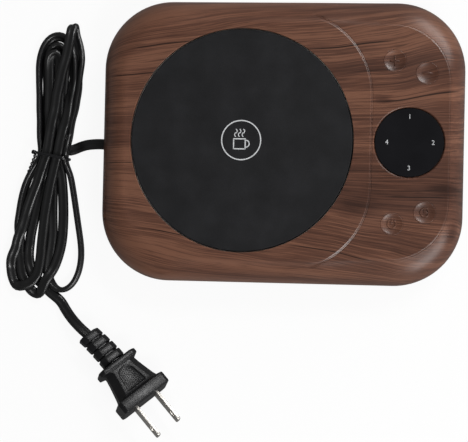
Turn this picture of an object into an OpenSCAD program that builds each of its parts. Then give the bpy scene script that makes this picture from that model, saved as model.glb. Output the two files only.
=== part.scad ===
// Electric mug warmer: a low pillow-shaped housing with a round heating plate, a front panel
// with four keys and a round display, and a flat two-core mains lead folded into a hank.
// Frame: +Z up, origin on the table under the centre of the housing, user at -Y, lead at +Y.

/* [Body] */
// Width of the housing, side to side at its widest line
body_w = 137; // [136:1:146]
// Depth of the housing, front to rear at its widest line
body_d = 176; // [174:1:186]
// Corner radius of the housing, seen from above
corner_r = 33.3; // [32:0.1:34]
// Height of the bottom cover, from its underside to the parting line
base_h = 6; // [5.8:0.1:8]
// Height of the top cover, from the parting line to the top face
cover_h = 22; // [21.8:0.1:26]
// Height of the widest line over the parting line
widest_rise = 4; // [2:0.5:6]
// How far the shoulder draws in from the widest line up to the top face
shoulder_in = 9; // [7:0.5:9.5]
// How far the housing draws in from the widest line down to its underside
base_tuck = 6; // [3:0.5:7]
// Width of the small round on the edge of the top face
edge_soft = 1; // [0.5:0.1:1.5]
// Wall thickness of the top cover
cover_wall = 2.4; // [2:0.1:2.6]
// Wall thickness of the bottom cover
base_wall = 2.4; // [2:0.1:3]
// Floor thickness of the bottom cover
base_floor = 2.2; // [2:0.1:2.6]
// Shadow gap between the two covers
parting_gap = 0.5; // [0.3:0.1:0.8]
// Height of the bottom cover's lip inside the top cover
lip_h = 3; // [2:0.5:4]
// Thickness of the lip
lip_t = 1.4; // [1:0.1:1.8]

/* [Heating plate] */
// Width of the deck beside the plate, from the plate's rim to the side
deck_beside_plate = 15.25; // [15:0.25:18]
// Width of the deck behind the plate, from the plate's rim to the rear edge
deck_behind_plate = 16.45; // [16:0.05:20]
// Depth of the panel in front of the plate, from the plate's rim to the front edge
panel_depth = 53.05; // [52:0.05:58]
// Thickness of the raised disc over the heater
plate_t = 2.8; // [2.4:0.1:3.2]
// How far the plate lies below the cover's top face
plate_recess = 0.5; // [0.2:0.1:0.8]
// Running gap between the plate and the cover
plate_gap = 0.5; // [0.3:0.1:0.8]
// Width of the chamfer on the rim of the cover's opening
rim_chamfer = 0.6; // [0.3:0.1:0.9]
// Width of the plate's flange under the cover
plate_flange_w = 3.75; // [3:0.25:3.75]
// Thickness of the flange
plate_flange_t = 1.2; // [1:0.1:1.5]
// Thickness of the silicone seal on the flange
seal_t = 1; // [0.8:0.1:1.2]
// Distance of the heater disc's rim inside the plate's rim
heater_inside = 5.25; // [5:0.25:12]
// Thickness of the heater disc
heater_t = 0.8; // [0.6:0.1:1]
// Thickness of the insulation pad
pad_t = 2.2; // [2:0.1:2.6]
// Thickness of the clamp plate
clamp_t = 1.2; // [1:0.1:1.5]
// Width of the clamp plate's tabs
clamp_tab_w = 8; // [7:0.5:10]

/* [Panel] */
// Distance of the display's centre from the front edge
display_from_front = 26.3; // [25.5:0.1:27]
// Diameter of the display lens
lens_d = 32.6; // [31:0.1:33]
// Thickness of the display lens
lens_t = 1.8; // [1.5:0.1:2]
// How far the lens lies below the top face
lens_recess = 0.3; // [0.2:0.1:0.5]
// Width of the chamfer round the lens
lens_chamfer = 0.9; // [0.5:0.1:1.1]
// Diameter of the window in the lens seat
window_d = 28; // [26:0.5:29]
// Diameter of a key
key_d = 10.6; // [10:0.1:11]
// Gap round a key
key_gap = 0.25; // [0.2:0.05:0.35]
// Depth of the dish in a key
dish_depth = 1; // [0.6:0.1:1.2]
// Height of the raised marks in the dishes
mark_h = 0.35; // [0.2:0.05:0.5]
// Travel of a key
key_travel = 0.5; // [0.3:0.1:0.6]
// Distance of the inner keys from the sides
inner_key_from_side = 29.8; // [28:0.1:31]
// Distance of the inner keys behind the display's centre
inner_key_back = 7.5; // [6:0.1:8]
// Distance of the outer keys from the sides
outer_key_from_side = 35.5; // [34:0.1:37]
// Distance of the outer keys in front of the display's centre
outer_key_front = 7.8; // [7:0.1:9]
// Distance of the deck groove behind the display's centre
groove_back = 18; // [17:0.5:19]
// Width of the deck groove
groove_w = 1.8; // [1:0.1:2.4]
// Depth of the deck groove
groove_depth = 0.6; // [0.4:0.1:0.9]
// Corner radius of the deck groove
groove_r = 29; // [26:0.5:32]

/* [Electronics] */
// Thickness of the circuit boards
board_t = 1.6; // [1.2:0.1:1.8]
// Width of the main board
main_board_w = 80; // [78:1:86]
// Depth of the main board
main_board_d = 82; // [80:1:84]
// Clear height under the main board
main_board_lift = 2.3; // [2:0.1:2.6]
// How far the control board reaches past the centres of the inner keys
control_board_past_keys = 5.3; // [4:0.1:6]
// Depth of the control board
control_board_d = 34; // [33:0.5:35]
// Depth of the control board's top face under the cover's ceiling
control_board_drop = 7.6; // [7.4:0.1:8]
// Side of a tact switch
switch_w = 6; // [5:0.5:6.5]
// Height of a tact switch body
switch_h = 3.5; // [3.2:0.1:3.6]
// Diameter of a tact switch plunger
plunger_d = 3.4; // [3:0.1:3.6]

/* [Fixings] */
// Diameter of the rubber feet
foot_d = 14; // [10:0.5:16]
// Height of the rubber feet
foot_h = 3; // [2.5:0.1:4]
// Depth of the feet's pockets
foot_pocket = 1; // [0.5:0.1:1.2]
// Distance of the rear and front screw bosses from the sides
boss_from_side = [15.5, 14.5];
// Distance of the rear screw bosses from the rear, and of the front ones from the front
boss_from_end = [37.5, 50];
// Distance of the feet from the sides
foot_from_side = 28.5; // [27:0.5:32]
// Distance of the feet from the front and rear
foot_from_end = 22; // [21:0.5:26]
// Shank diameter of the housing screws
housing_screw_d = 3; // [2.5:0.1:3.2]
// Shank diameter of the small screws
small_screw_d = 2.4; // [2:0.1:2.6]
// Outer diameter of the housing screw bosses
boss_d = 7.4; // [6.8:0.1:7.6]
// Outer diameter of the small screw bosses
small_boss_d = 5.6; // [5:0.1:6]

/* [Power lead] */
// Width of the flat two-core lead
cord_w = 5.2; // [5:0.1:5.6]
// Thickness of the lead
cord_t = 2.7; // [2.6:0.1:3]
// Length of the strain relief in the rear wall
grommet_len = 24; // [22:0.5:28]
// Spacing of the plug's blades
blade_pitch = 12.7; // [12.5:0.1:13]
// Length of the plug's blades
blade_len = 17; // [16:0.5:18]
// Width of a blade
blade_w = 6.35; // [6.2:0.05:6.5]
// Thickness of a blade
blade_t = 1.5; // [1.4:0.05:1.6]

/* [Hidden] */
$fn = 64;

// Small fits and steps used all over
fit = 0.3;          // between a seated piece and its seat
pilot_fit = 0.1;    // round a screw's shank in its pilot hole
close_fit = 0.2;    // round a soft piece in its pocket and a plunger in its guide
edge_chamfer = 0.3; // on the rims of the plate and the lens
slab = 0.02;        // thickness of a slice in a hulled form
cut = 1;            // overrun of a cutting shape
shell_fn = 48;      // corners of the hulled housing forms

// Heights of the housing
base_z = foot_h - foot_pocket;
floor_z = base_z + base_floor;
split_z = base_z + base_h;
widest_z = split_z + widest_rise;
top_z = split_z + cover_h;
ceiling_z = top_z - cover_wall;

// Heights of the plate's stack, from the top down
plate_d = min(body_w - 2 * deck_beside_plate, body_d - deck_behind_plate - panel_depth);
plate_y = body_d / 2 - deck_behind_plate - plate_d / 2;
heater_d = plate_d - 2 * heater_inside;
plate_top = top_z - plate_recess;
opening_d = plate_d + 2 * plate_gap;
flange_d = plate_d + 2 * plate_flange_w;
flange_top = ceiling_z - seal_t;
flange_bottom = flange_top - plate_flange_t;
heater_top = plate_top - plate_t;
heater_bottom = heater_top - heater_t;
pad_bottom = heater_bottom - pad_t;
clamp_bottom = pad_bottom - clamp_t;
heater_pocket_d = heater_d + 2;
clamp_d = heater_d + 4;
clamp_screw_r = flange_d / 2 + small_boss_d / 2 + 1.2;
CLAMP_SCREWS = [for (a = [60, 120, 222, 318]) [clamp_screw_r * cos(a), plate_y + clamp_screw_r * sin(a), a]];

// Panel
panel_y = display_from_front - body_d / 2;
lens_top = top_z - lens_recess;
lens_bottom = lens_top - lens_t;
lens_opening_d = lens_d + 2 * fit;
lens_seat_t = 1.9;
lens_seat_w = 5;
lens_seat_bottom = lens_bottom - lens_seat_t;
dish_r = (pow(key_d / 2 - 0.5, 2) + pow(dish_depth, 2)) / (2 * dish_depth);
key_flange_t = 0.7;
key_flange_w = 0.9;
key_flange_top = ceiling_z - fit;
key_stem_d = 4;
plunger_rise = 0.8;
inner_key_x = body_w / 2 - inner_key_from_side;
outer_key_x = body_w / 2 - outer_key_from_side;
inner_key_y = panel_y + inner_key_back;
outer_key_y = panel_y - outer_key_front;
POWER_AT = [-inner_key_x, inner_key_y];
TIMER_AT = [-outer_key_x, outer_key_y];
PLUS_AT = [inner_key_x, inner_key_y];
MINUS_AT = [outer_key_x, outer_key_y];
mark_line = 0.8;
mark_size = 4.2;
mark_root = 0.2;
deck_side = body_w / 2 - 7.5;
groove_reach = 36;

// Boards and what stands on them
main_top = floor_z + main_board_lift + board_t;
main_board_y = plate_y - 9.3;
main_hole_in = 4;
MAIN_HOLES = [for (y = [-1, 1])
    [main_board_w / 2 - main_hole_in, main_board_y + y * (main_board_d / 2 - main_hole_in)]];
control_top = ceiling_z - control_board_drop;
control_board_w = 2 * (inner_key_x + control_board_past_keys);
control_board_y = panel_y - 1.3;
CONTROL_HOLES = [[inner_key_x - 13.7, panel_y + 12.7], [outer_key_x - 15, panel_y - 15.3]];
switch_top = control_top + switch_h;
guide_depth = 2;
plunger_top = switch_top + plunger_rise;
screw_head_h = 1.6;
screw_head_d = 4.8;
main_screw_len = 4.6;
control_screw_len = 5;
clamp_screw_len = 5.6;
bar_screw_len = 6;
housing_screw_len = 14;
housing_head_h = 2;
housing_head_d = 5.8;
counterbore_d = 6.6;
counterbore_h = 3.4;
post_d = 9;
post_top = split_z;
screw_seat_z = base_z + counterbore_h;
housing_screw_in = screw_seat_z + housing_screw_len - post_top;
BOSSES = [
    [body_w / 2 - boss_from_side[0], body_d / 2 - boss_from_end[0]],
    [body_w / 2 - boss_from_side[1], boss_from_end[1] - body_d / 2]
];
FEET = [for (y = [-1, 1]) [body_w / 2 - foot_from_side, y * (body_d / 2 - foot_from_end)]];

// Lead holes through the pad and the clamp plate
heater_port = [-24, plate_y - 18];
heater_port_d = 9;
sensor_d = 5;
sensor_len = 6;
fuse_at = [22, plate_y - 20];
thermal_fuse_d = 4;

// Strain relief in the rear wall
cord_x = -1.8;
cord_z = split_z;
cord_exit_y = body_d / 2;
grommet_w = cord_w + 3.6;
grommet_t = cord_t + 1.8;
grommet_r = grommet_t / 2 - 0.4;
grommet_flange_t = 1.6;
grommet_flange_w = grommet_w + 4;
grommet_flange_h = grommet_t + 2.4;
grommet_flange_y = body_d / 2 - inset(cord_z - grommet_flange_h / 2) - base_wall - lip_t - fit;
grommet_inner_y = cord_exit_y - grommet_len;
clamp_bar = [26, 6, 2];
clamp_bar_y = cord_exit_y - 13.5;
clamp_bar_bottom = cord_z + grommet_t / 2 + fit;
clamp_post_x = 9.5;

// Parts on the main board: places from the board's centre, and sizes
relay_at = [-24, 21];
relay_size = [15, 20, 10.5];
transformer_at = [26, 5];
coil_size = [10, 11, 10];
core_size = [14, 13, 8];
film_capacitor_at = [20, 29];
film_capacitor_size = [18, 7, 10.5];
smoothing_capacitor_at = [18, -17];
smoothing_capacitor_d = 8;
smoothing_capacitor_len = 13;
mains_fuse_at = [-24, -7];
mains_fuse_d = 5;
mains_fuse_len = 20;
fuse_holder_size = [3, 6, 3.2];
fuse_holder_from = 7.5;
terminal_at = [cord_x, 36];
terminal_size = [12, 8, 9];
heater_socket_at = [-30, -23];
heater_socket_size = [10, 7, 7];
sensor_socket_at = [-4, -29];
sensor_socket_size = [8, 5, 6];
control_socket_at = [22, -35];
control_socket_size = [13, 5, 6];

// Parts on the control board
control_header_size = [13, 5, 5];
control_header_at = [CONTROL_HOLES[0][0] - 6 - control_header_size[0] / 2, panel_y + 10.5];
control_chip_size = [10, 7.6, 2];
buzzer_at = [-inner_key_x + 8.7, panel_y - 1];
buzzer_d = 9;
buzzer_h = 4.5;
buzzer_port = [2, 0.6];
display_size = [26, 18];
digit_size = [8.4, 12, 0.4];
digit_from = 5.8;

// Inner wires
wire_d = 1.8;
thin_wire_d = 1.2;
ribbon = [10, 1.2];

// Free stretches of the lead as centre line points: from the rear wall to the hank, and from the
// hank to the plug. Places behind the housing count from the lead's exit in the rear wall.
hank_entry_z = 2.2;
lead_drop = cord_z - hank_entry_z;
LEAD_ROUTE = [
    [cord_x, 0, cord_z], [-1.9, 3.2, cord_z - 0.08 * lead_drop], [-2.3, 6.8, cord_z - 0.32 * lead_drop],
    [-3, 10.4, cord_z - 0.63 * lead_drop], [-4, 13.8, cord_z - 0.87 * lead_drop], [-5.3, 16.8, hank_entry_z]
];
TAIL_ROUTE = [
    [-76.4, 26, 1.7], [-79.4, 24.7, 1.9], [-83, 22.6, 2.8], [-86.8, 19.7, 4.2],
    [-90.3, 16.2, 5.9], [-93.6, 12.4, 7.5], [-96.8, 9, 8.5]
];
tail_start = 207;
hank_leave = [cos(tail_start), sin(tail_start), 0];

// Hank: outline circles [x, y, r], and the straight waist that the tie holds
hank_h = 9.3;
HANK_TOP = [[44, 26, 11.3]];
HANK_BOTTOM = [[-66, 45, 6], [-71, 33, 8], [-58, 25.5, 14]];
HANK_WAIST = [[-14, 19], [0, 36.6]];
mouth_len = 6;

// Twist tie
tie_at = [-7.8, 27.8];
tie_turn = -10.8;
tie_w = 2.2;
tie_t = 1;
tie_base = 0.1;
tie_half = 8;
tie_slot_reach = 20;
tie_knot = [2.2, 2.2, 2.6];
tie_tail_d = 1.6;
tie_tail_len = 12;
tie_tail_turn = 155;

// Plug, along its own axis from the cord end
plug_rear = TAIL_ROUTE[len(TAIL_ROUTE) - 1];
plug_yaw = 223;
plug_pitch = 5;
plug_roll = 28;
relief_len = 17.5;
relief_ribs = 4;
relief_w = 10;
relief_t = 8;
rib_gap = 1;
rib_growth = [0.4, 0.3];
rear_flange = [3, 20, 13];
plug_neck = [16, 10.5];
plug_front = [22, 12.8];
plug_body_len = 16.5;
front_flange = [6.5, 26, 15];
plug_len = relief_len + rear_flange[0] + plug_body_len + front_flange[0];
plug_axis = [cos(plug_yaw) * cos(plug_pitch), sin(plug_yaw) * cos(plug_pitch), sin(plug_pitch)];
plug_r = 3;
patch_d = 11;
patch_depth = 1.1;
blade_hole_d = 3.2;
blade_hole_at = 11.7;
blade_root = 4;
blade_tip = 1.2;

// How far the housing is drawn in from its widest line at a height
function inset(z) = z >= widest_z
    ? shoulder_in * pow((z - widest_z) / (top_z - widest_z), 2)
    : base_tuck * pow((widest_z - z) / (widest_z - base_z), 2);

// Heights from one to another in a number of equal steps
function steps(from, to, count) = [for (i = [0:count]) from + (to - from) * i / count];

// Direction of a route at one of its points
function unit(v) = v / norm(v);
function heading(route, i) = unit(
    i == 0 ? route[1] - route[0]
    : i == len(route) - 1 ? route[i] - route[i - 1]
    : route[i + 1] - route[i - 1]);

// Eight-sided flat section of a lead, or round when its two sizes are equal
function section(w, t) = [
    [w / 2, -t / 4], [w / 2, t / 4], [w / 2 - t / 4, t / 2], [t / 4 - w / 2, t / 2],
    [-w / 2, t / 4], [-w / 2, -t / 4], [t / 4 - w / 2, -t / 2], [w / 2 - t / 4, -t / 2]
];

// One ring of a swept lead at a point, square to a direction and rolled about it
function ring(at, along, up_hint, roll, w, t) =
    let (side = unit(cross(along, up_hint)), up = cross(side, along))
    let (side_r = side * cos(roll) + up * sin(roll), up_r = up * cos(roll) - side * sin(roll))
    [for (p = section(w, t)) at + side_r * p[0] + up_r * p[1]];

// Rounded rectangle in the plane, centred
module rounded_rect(w, d, r) {
    square([w - 2 * r, d], center = true);
    square([w, d - 2 * r], center = true);
    for (x = [-1, 1], y = [-1, 1])
        translate([x * (w / 2 - r), y * (d / 2 - r)])
            circle(r);
}

// Solid housing form between the given heights, a gap inside the outer surface
module housing_form(heights, gap, soft = 0) {
    hull()
        for (i = [0:len(heights) - 1], x = [-1, 1], y = [-1, 1])
            translate([
                x * (body_w / 2 - corner_r - inset(heights[i]) - (i == len(heights) - 1 ? soft : 0)),
                y * (body_d / 2 - corner_r - inset(heights[i]) - (i == len(heights) - 1 ? soft : 0)),
                heights[i] - (i == 0 ? 0 : slab)
            ])
                cylinder(r = corner_r - gap, h = slab, $fn = shell_fn);
}

// The children at each of four places given for the +X side, as [x, y] pairs
module both_sides(places) {
    for (p = places, side = [-1, 1])
        translate([side * p[0], p[1], 0])
            children();
}

// The children at each of the clamp plate's screws
module at_clamp_screws() {
    for (p = CLAMP_SCREWS)
        translate([p[0], p[1], 0])
            children();
}

// The children in the frame of the lead's exit in the rear wall
module behind_housing() {
    translate([0, cord_exit_y, 0])
        children();
}

// Screw that hangs down from its head, with the seat of its head at z = 0
module screw(d, length, head_d = screw_head_d, head_h = screw_head_h) {
    slot = [head_d * 0.6, 0.7, 0.8];
    translate([0, 0, -length])
        cylinder(d = d, h = length);
    difference() {
        cylinder(d = head_d, h = head_h);
        translate([0, 0, head_h - slot[2]])
            for (a = [0, 90])
                rotate([0, 0, a])
                    translate([-slot[0] / 2, -slot[1] / 2, 0])
                        cube([slot[0], slot[1], cut]);
    }
}

// Lead swept along a route, one ring for each of its points
module lead(route, w, t, up_hint = [0, 0, 1], first = [], last = [], end_roll = 0) {
    count = len(route);
    sides = 8;
    rings = [for (i = [0:count - 1])
        ring(route[i],
            i == 0 && len(first) == 3 ? first : i == count - 1 && len(last) == 3 ? last : heading(route, i),
            up_hint, end_roll * i / (count - 1), w, t)];
    polyhedron(
        points = [for (r = rings, p = r) p],
        faces = concat(
            [[for (k = [0:sides - 1]) sides - 1 - k]],
            [for (i = [0:count - 2], k = [0:sides - 1])
                [i * sides + k, i * sides + (k + 1) % sides, (i + 1) * sides + (k + 1) % sides]],
            [for (i = [0:count - 2], k = [0:sides - 1])
                [i * sides + k, (i + 1) * sides + (k + 1) % sides, (i + 1) * sides + k]],
            [[for (k = [0:sides - 1]) (count - 1) * sides + k]]
        )
    );
}

// ---------- Housing ----------

module deck_groove() {
    deck_front = panel_y + groove_back;
    deck_d = 2 * groove_reach + 2 * groove_r;
    intersection() {
        translate([0, deck_front + deck_d / 2, top_z - groove_depth])
            linear_extrude(groove_depth + cut)
                difference() {
                    rounded_rect(2 * deck_side, deck_d, groove_r);
                    rounded_rect(2 * (deck_side - groove_w), deck_d - 2 * groove_w, groove_r - groove_w);
                }
        translate([-body_w / 2, deck_front - cut, ceiling_z])
            cube([body_w, groove_reach, cover_wall + cut]);
    }
}

// Slot in the rear wall that holds the strain relief, half of it in each cover
module grommet_slot() {
    translate([cord_x, grommet_flange_y, cord_z])
        rotate([-90, 0, 0])
            linear_extrude(body_d)
                rounded_rect(grommet_w + 2 * close_fit, grommet_t + 2 * close_fit, grommet_r);
}

// Cutter for the chamfer on a round rim, with its small end at z = 0
module rim_cone(d, chamfer, sides) {
    cylinder(d1 = d, d2 = d + 2 * (chamfer + cut), h = chamfer + cut, $fn = sides);
}

module top_cover() {
    boss_h = ceiling_z - post_top;
    color("#6b4a38")
        difference() {
            union() {
                difference() {
                    housing_form(
                        concat([split_z + parting_gap / 2], steps(widest_z, top_z - edge_soft, 6), [top_z]),
                        0, edge_soft);
                    housing_form(concat([split_z - cut], steps(widest_z, ceiling_z, 5)), cover_wall);
                }
                both_sides(BOSSES)
                    translate([0, 0, post_top])
                        cylinder(d = boss_d, h = boss_h + cut);
                at_clamp_screws()
                    translate([0, 0, pad_bottom])
                        cylinder(d = small_boss_d, h = ceiling_z - pad_bottom + cut);
                both_sides(CONTROL_HOLES)
                    translate([0, 0, control_top])
                        cylinder(d = small_boss_d, h = control_board_drop + cut);
                translate([0, panel_y, lens_seat_bottom])
                    cylinder(d = lens_opening_d + lens_seat_w, h = ceiling_z - lens_seat_bottom + cut);
            }
            both_sides(BOSSES)
                translate([0, 0, post_top - cut])
                    cylinder(d = housing_screw_d + 2 * pilot_fit, h = housing_screw_in + fit + cut);
            at_clamp_screws()
                translate([0, 0, pad_bottom - cut])
                    cylinder(d = small_screw_d + 2 * pilot_fit, h = clamp_screw_len - clamp_t + fit + cut);
            both_sides(CONTROL_HOLES)
                translate([0, 0, control_top - cut])
                    cylinder(d = small_screw_d + 2 * pilot_fit, h = control_screw_len - board_t + fit + cut);
            translate([0, plate_y, flange_bottom])
                cylinder(d = opening_d, h = top_z, $fn = 128);
            translate([0, plate_y, top_z - rim_chamfer])
                rim_cone(opening_d, rim_chamfer, 128);
            translate([0, panel_y, lens_seat_bottom - cut])
                cylinder(d = window_d, h = top_z);
            translate([0, panel_y, lens_bottom])
                cylinder(d = lens_opening_d, h = top_z);
            translate([0, panel_y, top_z - lens_chamfer])
                rim_cone(lens_opening_d, lens_chamfer, 64);
            for (at = [POWER_AT, TIMER_AT, PLUS_AT, MINUS_AT])
                translate([at[0], at[1], ceiling_z - cut])
                    cylinder(d = key_d + 2 * key_gap, h = top_z);
            deck_groove();
            grommet_slot();
        }
}

module bottom_cover() {
    lip_w = body_w - 2 * (inset(split_z) + cover_wall + fit);
    lip_d = body_d - 2 * (inset(split_z) + cover_wall + fit);
    lip_r = corner_r - cover_wall - fit;
    color("#26262a")
        difference() {
            union() {
                difference() {
                    union() {
                        housing_form(steps(base_z, split_z - parting_gap / 2, 4), 0);
                        translate([0, 0, floor_z])
                            linear_extrude(split_z + lip_h - floor_z)
                                rounded_rect(lip_w, lip_d, lip_r);
                    }
                    translate([0, 0, split_z - cut])
                        linear_extrude(lip_h + 2 * cut)
                            rounded_rect(lip_w - 2 * lip_t, lip_d - 2 * lip_t, lip_r - lip_t);
                    housing_form(steps(floor_z, split_z, 3), base_wall + lip_t);
                }
                both_sides(BOSSES)
                    translate([0, 0, floor_z - slab])
                        cylinder(d = post_d, h = post_top - floor_z + slab);
                both_sides(MAIN_HOLES)
                    translate([0, 0, floor_z - slab])
                        cylinder(d = small_boss_d, h = main_board_lift + slab);
                for (side = [-1, 1])
                    translate([cord_x + side * clamp_post_x, clamp_bar_y, floor_z - slab])
                        cylinder(d = small_boss_d, h = clamp_bar_bottom - floor_z + slab);
                translate([cord_x - grommet_w / 2, clamp_bar_y - clamp_bar[1] / 2, floor_z - slab])
                    cube([grommet_w, clamp_bar[1], cord_z - grommet_t / 2 - fit - floor_z + slab]);
            }
            both_sides(BOSSES) {
                translate([0, 0, base_z - cut])
                    cylinder(d = counterbore_d, h = counterbore_h + cut);
                translate([0, 0, base_z])
                    cylinder(d = housing_screw_d + 2 * fit, h = base_h + cut);
            }
            both_sides(MAIN_HOLES)
                translate([0, 0, main_top - main_screw_len - fit])
                    cylinder(d = small_screw_d + 2 * pilot_fit, h = main_screw_len + cut);
            for (side = [-1, 1])
                translate([cord_x + side * clamp_post_x, clamp_bar_y, floor_z])
                    cylinder(d = small_screw_d + 2 * pilot_fit, h = top_z);
            both_sides(FEET)
                translate([0, 0, base_z - cut])
                    cylinder(d = foot_d + 2 * close_fit, h = foot_pocket + cut);
            grommet_slot();
        }
}

module rubber_feet() {
    foot_edge = 0.6;
    color("#1c1c1e")
        both_sides(FEET) {
            cylinder(d1 = foot_d - 2 * foot_edge, d2 = foot_d, h = foot_edge);
            translate([0, 0, foot_edge])
                cylinder(d = foot_d, h = foot_h - foot_edge);
        }
}

module housing_screws() {
    color("silver")
        both_sides(BOSSES)
            translate([0, 0, screw_seat_z])
                mirror([0, 0, 1])
                    screw(housing_screw_d, housing_screw_len, housing_head_d, housing_head_h);
}

// ---------- Heating plate ----------

module heating_plate() {
    color("#2a2b2d")
        translate([0, plate_y, 0])
            difference() {
                union() {
                    translate([0, 0, flange_bottom])
                        cylinder(d = flange_d, h = plate_flange_t, $fn = 128);
                    translate([0, 0, flange_bottom])
                        cylinder(d = plate_d, h = plate_top - edge_chamfer - flange_bottom, $fn = 128);
                    translate([0, 0, plate_top - edge_chamfer])
                        cylinder(d1 = plate_d, d2 = plate_d - 2 * edge_chamfer, h = edge_chamfer, $fn = 128);
                }
                translate([0, 0, flange_bottom - cut])
                    cylinder(d = heater_pocket_d, h = heater_top - flange_bottom + cut, $fn = 128);
            }
}

module plate_seal() {
    color("#c9c6bf")
        translate([0, plate_y, flange_top])
            difference() {
                cylinder(d = flange_d, h = seal_t, $fn = 128);
                translate([0, 0, -cut])
                    cylinder(d = plate_d + 2 * fit, h = seal_t + 2 * cut, $fn = 128);
            }
}

module heater_element() {
    color("#b98d3e")
        translate([0, plate_y, heater_bottom])
            cylinder(d = heater_d, h = heater_t, $fn = 128);
}

module insulation_pad() {
    color("#e6e2d6")
        difference() {
            translate([0, plate_y, pad_bottom])
                cylinder(d = heater_d, h = pad_t, $fn = 128);
            translate([heater_port[0], heater_port[1], pad_bottom - cut])
                cylinder(d = heater_port_d, h = pad_t + 2 * cut);
            translate([0, plate_y, pad_bottom - cut])
                cylinder(d = sensor_d + 2 * fit, h = pad_t + 2 * cut);
        }
}

module clamp_plate() {
    color("#b9bcc0")
        difference() {
            union() {
                translate([0, plate_y, clamp_bottom])
                    cylinder(d = clamp_d, h = clamp_t, $fn = 128);
                for (p = CLAMP_SCREWS)
                    translate([0, plate_y, clamp_bottom])
                        rotate([0, 0, p[2]]) {
                            translate([heater_d / 4, -clamp_tab_w / 2, 0])
                                cube([clamp_screw_r - heater_d / 4, clamp_tab_w, clamp_t]);
                            translate([clamp_screw_r, 0, 0])
                                cylinder(d = clamp_tab_w, h = clamp_t);
                        }
            }
            at_clamp_screws()
                translate([0, 0, clamp_bottom - cut])
                    cylinder(d = small_screw_d + 2 * fit, h = clamp_t + 2 * cut);
            translate([heater_port[0], heater_port[1], clamp_bottom - cut])
                cylinder(d = heater_port_d, h = clamp_t + 2 * cut);
            translate([0, plate_y, clamp_bottom - cut])
                cylinder(d = sensor_d + 2 * fit, h = clamp_t + 2 * cut);
        }
}

module clamp_screws() {
    color("silver")
        at_clamp_screws()
            translate([0, 0, clamp_bottom])
                mirror([0, 0, 1])
                    screw(small_screw_d, clamp_screw_len);
}

module temperature_sensor() {
    color("#d8d2c4")
        translate([0, plate_y, heater_bottom - sensor_len])
            cylinder(d = sensor_d, h = sensor_len);
}

module thermal_fuse() {
    fuse_len = 11;
    pin_len = 4;
    pin_d = 0.8;
    color("#c7ccd2")
        translate([fuse_at[0] - fuse_len / 2, fuse_at[1], clamp_bottom - fit - thermal_fuse_d / 2])
            rotate([0, 90, 0]) {
                cylinder(d = thermal_fuse_d, h = fuse_len);
                translate([0, 0, -pin_len])
                    cylinder(d = pin_d, h = fuse_len + 2 * pin_len);
            }
}

// Steel strap under the fuse, welded by its two feet to the clamp plate
module fuse_clip() {
    clip_w = 5;
    strap_t = 0.6;
    strap_in = thermal_fuse_d + 1.2;
    foot_w = 3;
    depth = thermal_fuse_d + 2 * fit;
    color("#a4a8ad")
        translate([fuse_at[0] - clip_w / 2, fuse_at[1], clamp_bottom])
            mirror([0, 0, 1])
                for (side = [0, 1])
                    mirror([0, side, 0]) {
                        translate([0, 0, depth])
                            cube([clip_w, strap_in / 2 + strap_t, strap_t]);
                        translate([0, strap_in / 2, 0])
                            cube([clip_w, strap_t, depth + strap_t]);
                        translate([0, strap_in / 2, 0])
                            cube([clip_w, strap_t + foot_w, strap_t]);
                    }
}

// ---------- Panel ----------

module display_lens() {
    color("#0c0c0e")
        translate([0, panel_y, lens_bottom]) {
            cylinder(d = lens_d, h = lens_t - edge_chamfer);
            translate([0, 0, lens_t - edge_chamfer])
                cylinder(d1 = lens_d, d2 = lens_d - 2 * edge_chamfer, h = edge_chamfer);
        }
}

module display_module() {
    block = concat(display_size, lens_seat_bottom - fit - control_top);
    color("#e8e8e4")
        translate([0, panel_y, control_top])
            difference() {
                translate([-block[0] / 2, -block[1] / 2, 0])
                    cube(block);
                for (x = [-digit_from, digit_from])
                    translate([x - digit_size[0] / 2, -digit_size[1] / 2, block[2] - digit_size[2]])
                        cube([digit_size[0], digit_size[1], cut]);
            }
}

module control_board() {
    color("#1f5a3a")
        difference() {
            translate([0, control_board_y, control_top - board_t])
                linear_extrude(board_t)
                    rounded_rect(control_board_w, control_board_d, 3);
            both_sides(CONTROL_HOLES)
                translate([0, 0, control_top - board_t - cut])
                    cylinder(d = small_screw_d + 2 * fit, h = board_t + 2 * cut);
        }
}

module control_board_screws() {
    color("silver")
        both_sides(CONTROL_HOLES)
            translate([0, 0, control_top - board_t])
                mirror([0, 0, 1])
                    screw(small_screw_d, control_screw_len);
}

module control_chip() {
    color("#19191b")
        translate([0, panel_y, control_top - board_t - control_chip_size[2] / 2])
            cube(control_chip_size, center = true);
}

module buzzer() {
    color("#161618")
        translate([buzzer_at[0], buzzer_at[1], control_top - board_t])
            mirror([0, 0, 1])
                difference() {
                    cylinder(d = buzzer_d, h = buzzer_h);
                    translate([0, 0, buzzer_h - buzzer_port[1]])
                        cylinder(d = buzzer_port[0], h = cut);
                }
}

module control_header() {
    color("#ece8da")
        translate(concat(control_header_at, control_top - board_t - control_header_size[2] / 2))
            cube(control_header_size, center = true);
}

// Key with a dish in its top; its children are the raised mark, drawn flat round the origin
module key_cap(at) {
    color("#6b4a38")
        translate([at[0], at[1], 0]) {
            difference() {
                union() {
                    translate([0, 0, key_flange_top])
                        cylinder(d = key_d, h = top_z - key_flange_top);
                    translate([0, 0, key_flange_top - key_flange_t])
                        cylinder(d = key_d + 2 * key_flange_w, h = key_flange_t);
                    translate([0, 0, plunger_top])
                        cylinder(d = key_stem_d, h = key_flange_top - plunger_top);
                }
                translate([0, 0, top_z + dish_r - dish_depth])
                    sphere(dish_r, $fn = 96);
            }
            translate([0, 0, top_z - dish_depth - mark_root])
                linear_extrude(mark_h + mark_root)
                    children();
        }
}

module mark_bar(length) {
    square([length, mark_line], center = true);
}

module mark_ring() {
    difference() {
        circle(d = mark_size, $fn = 48);
        circle(d = mark_size - 2 * mark_line, $fn = 48);
    }
}

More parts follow.
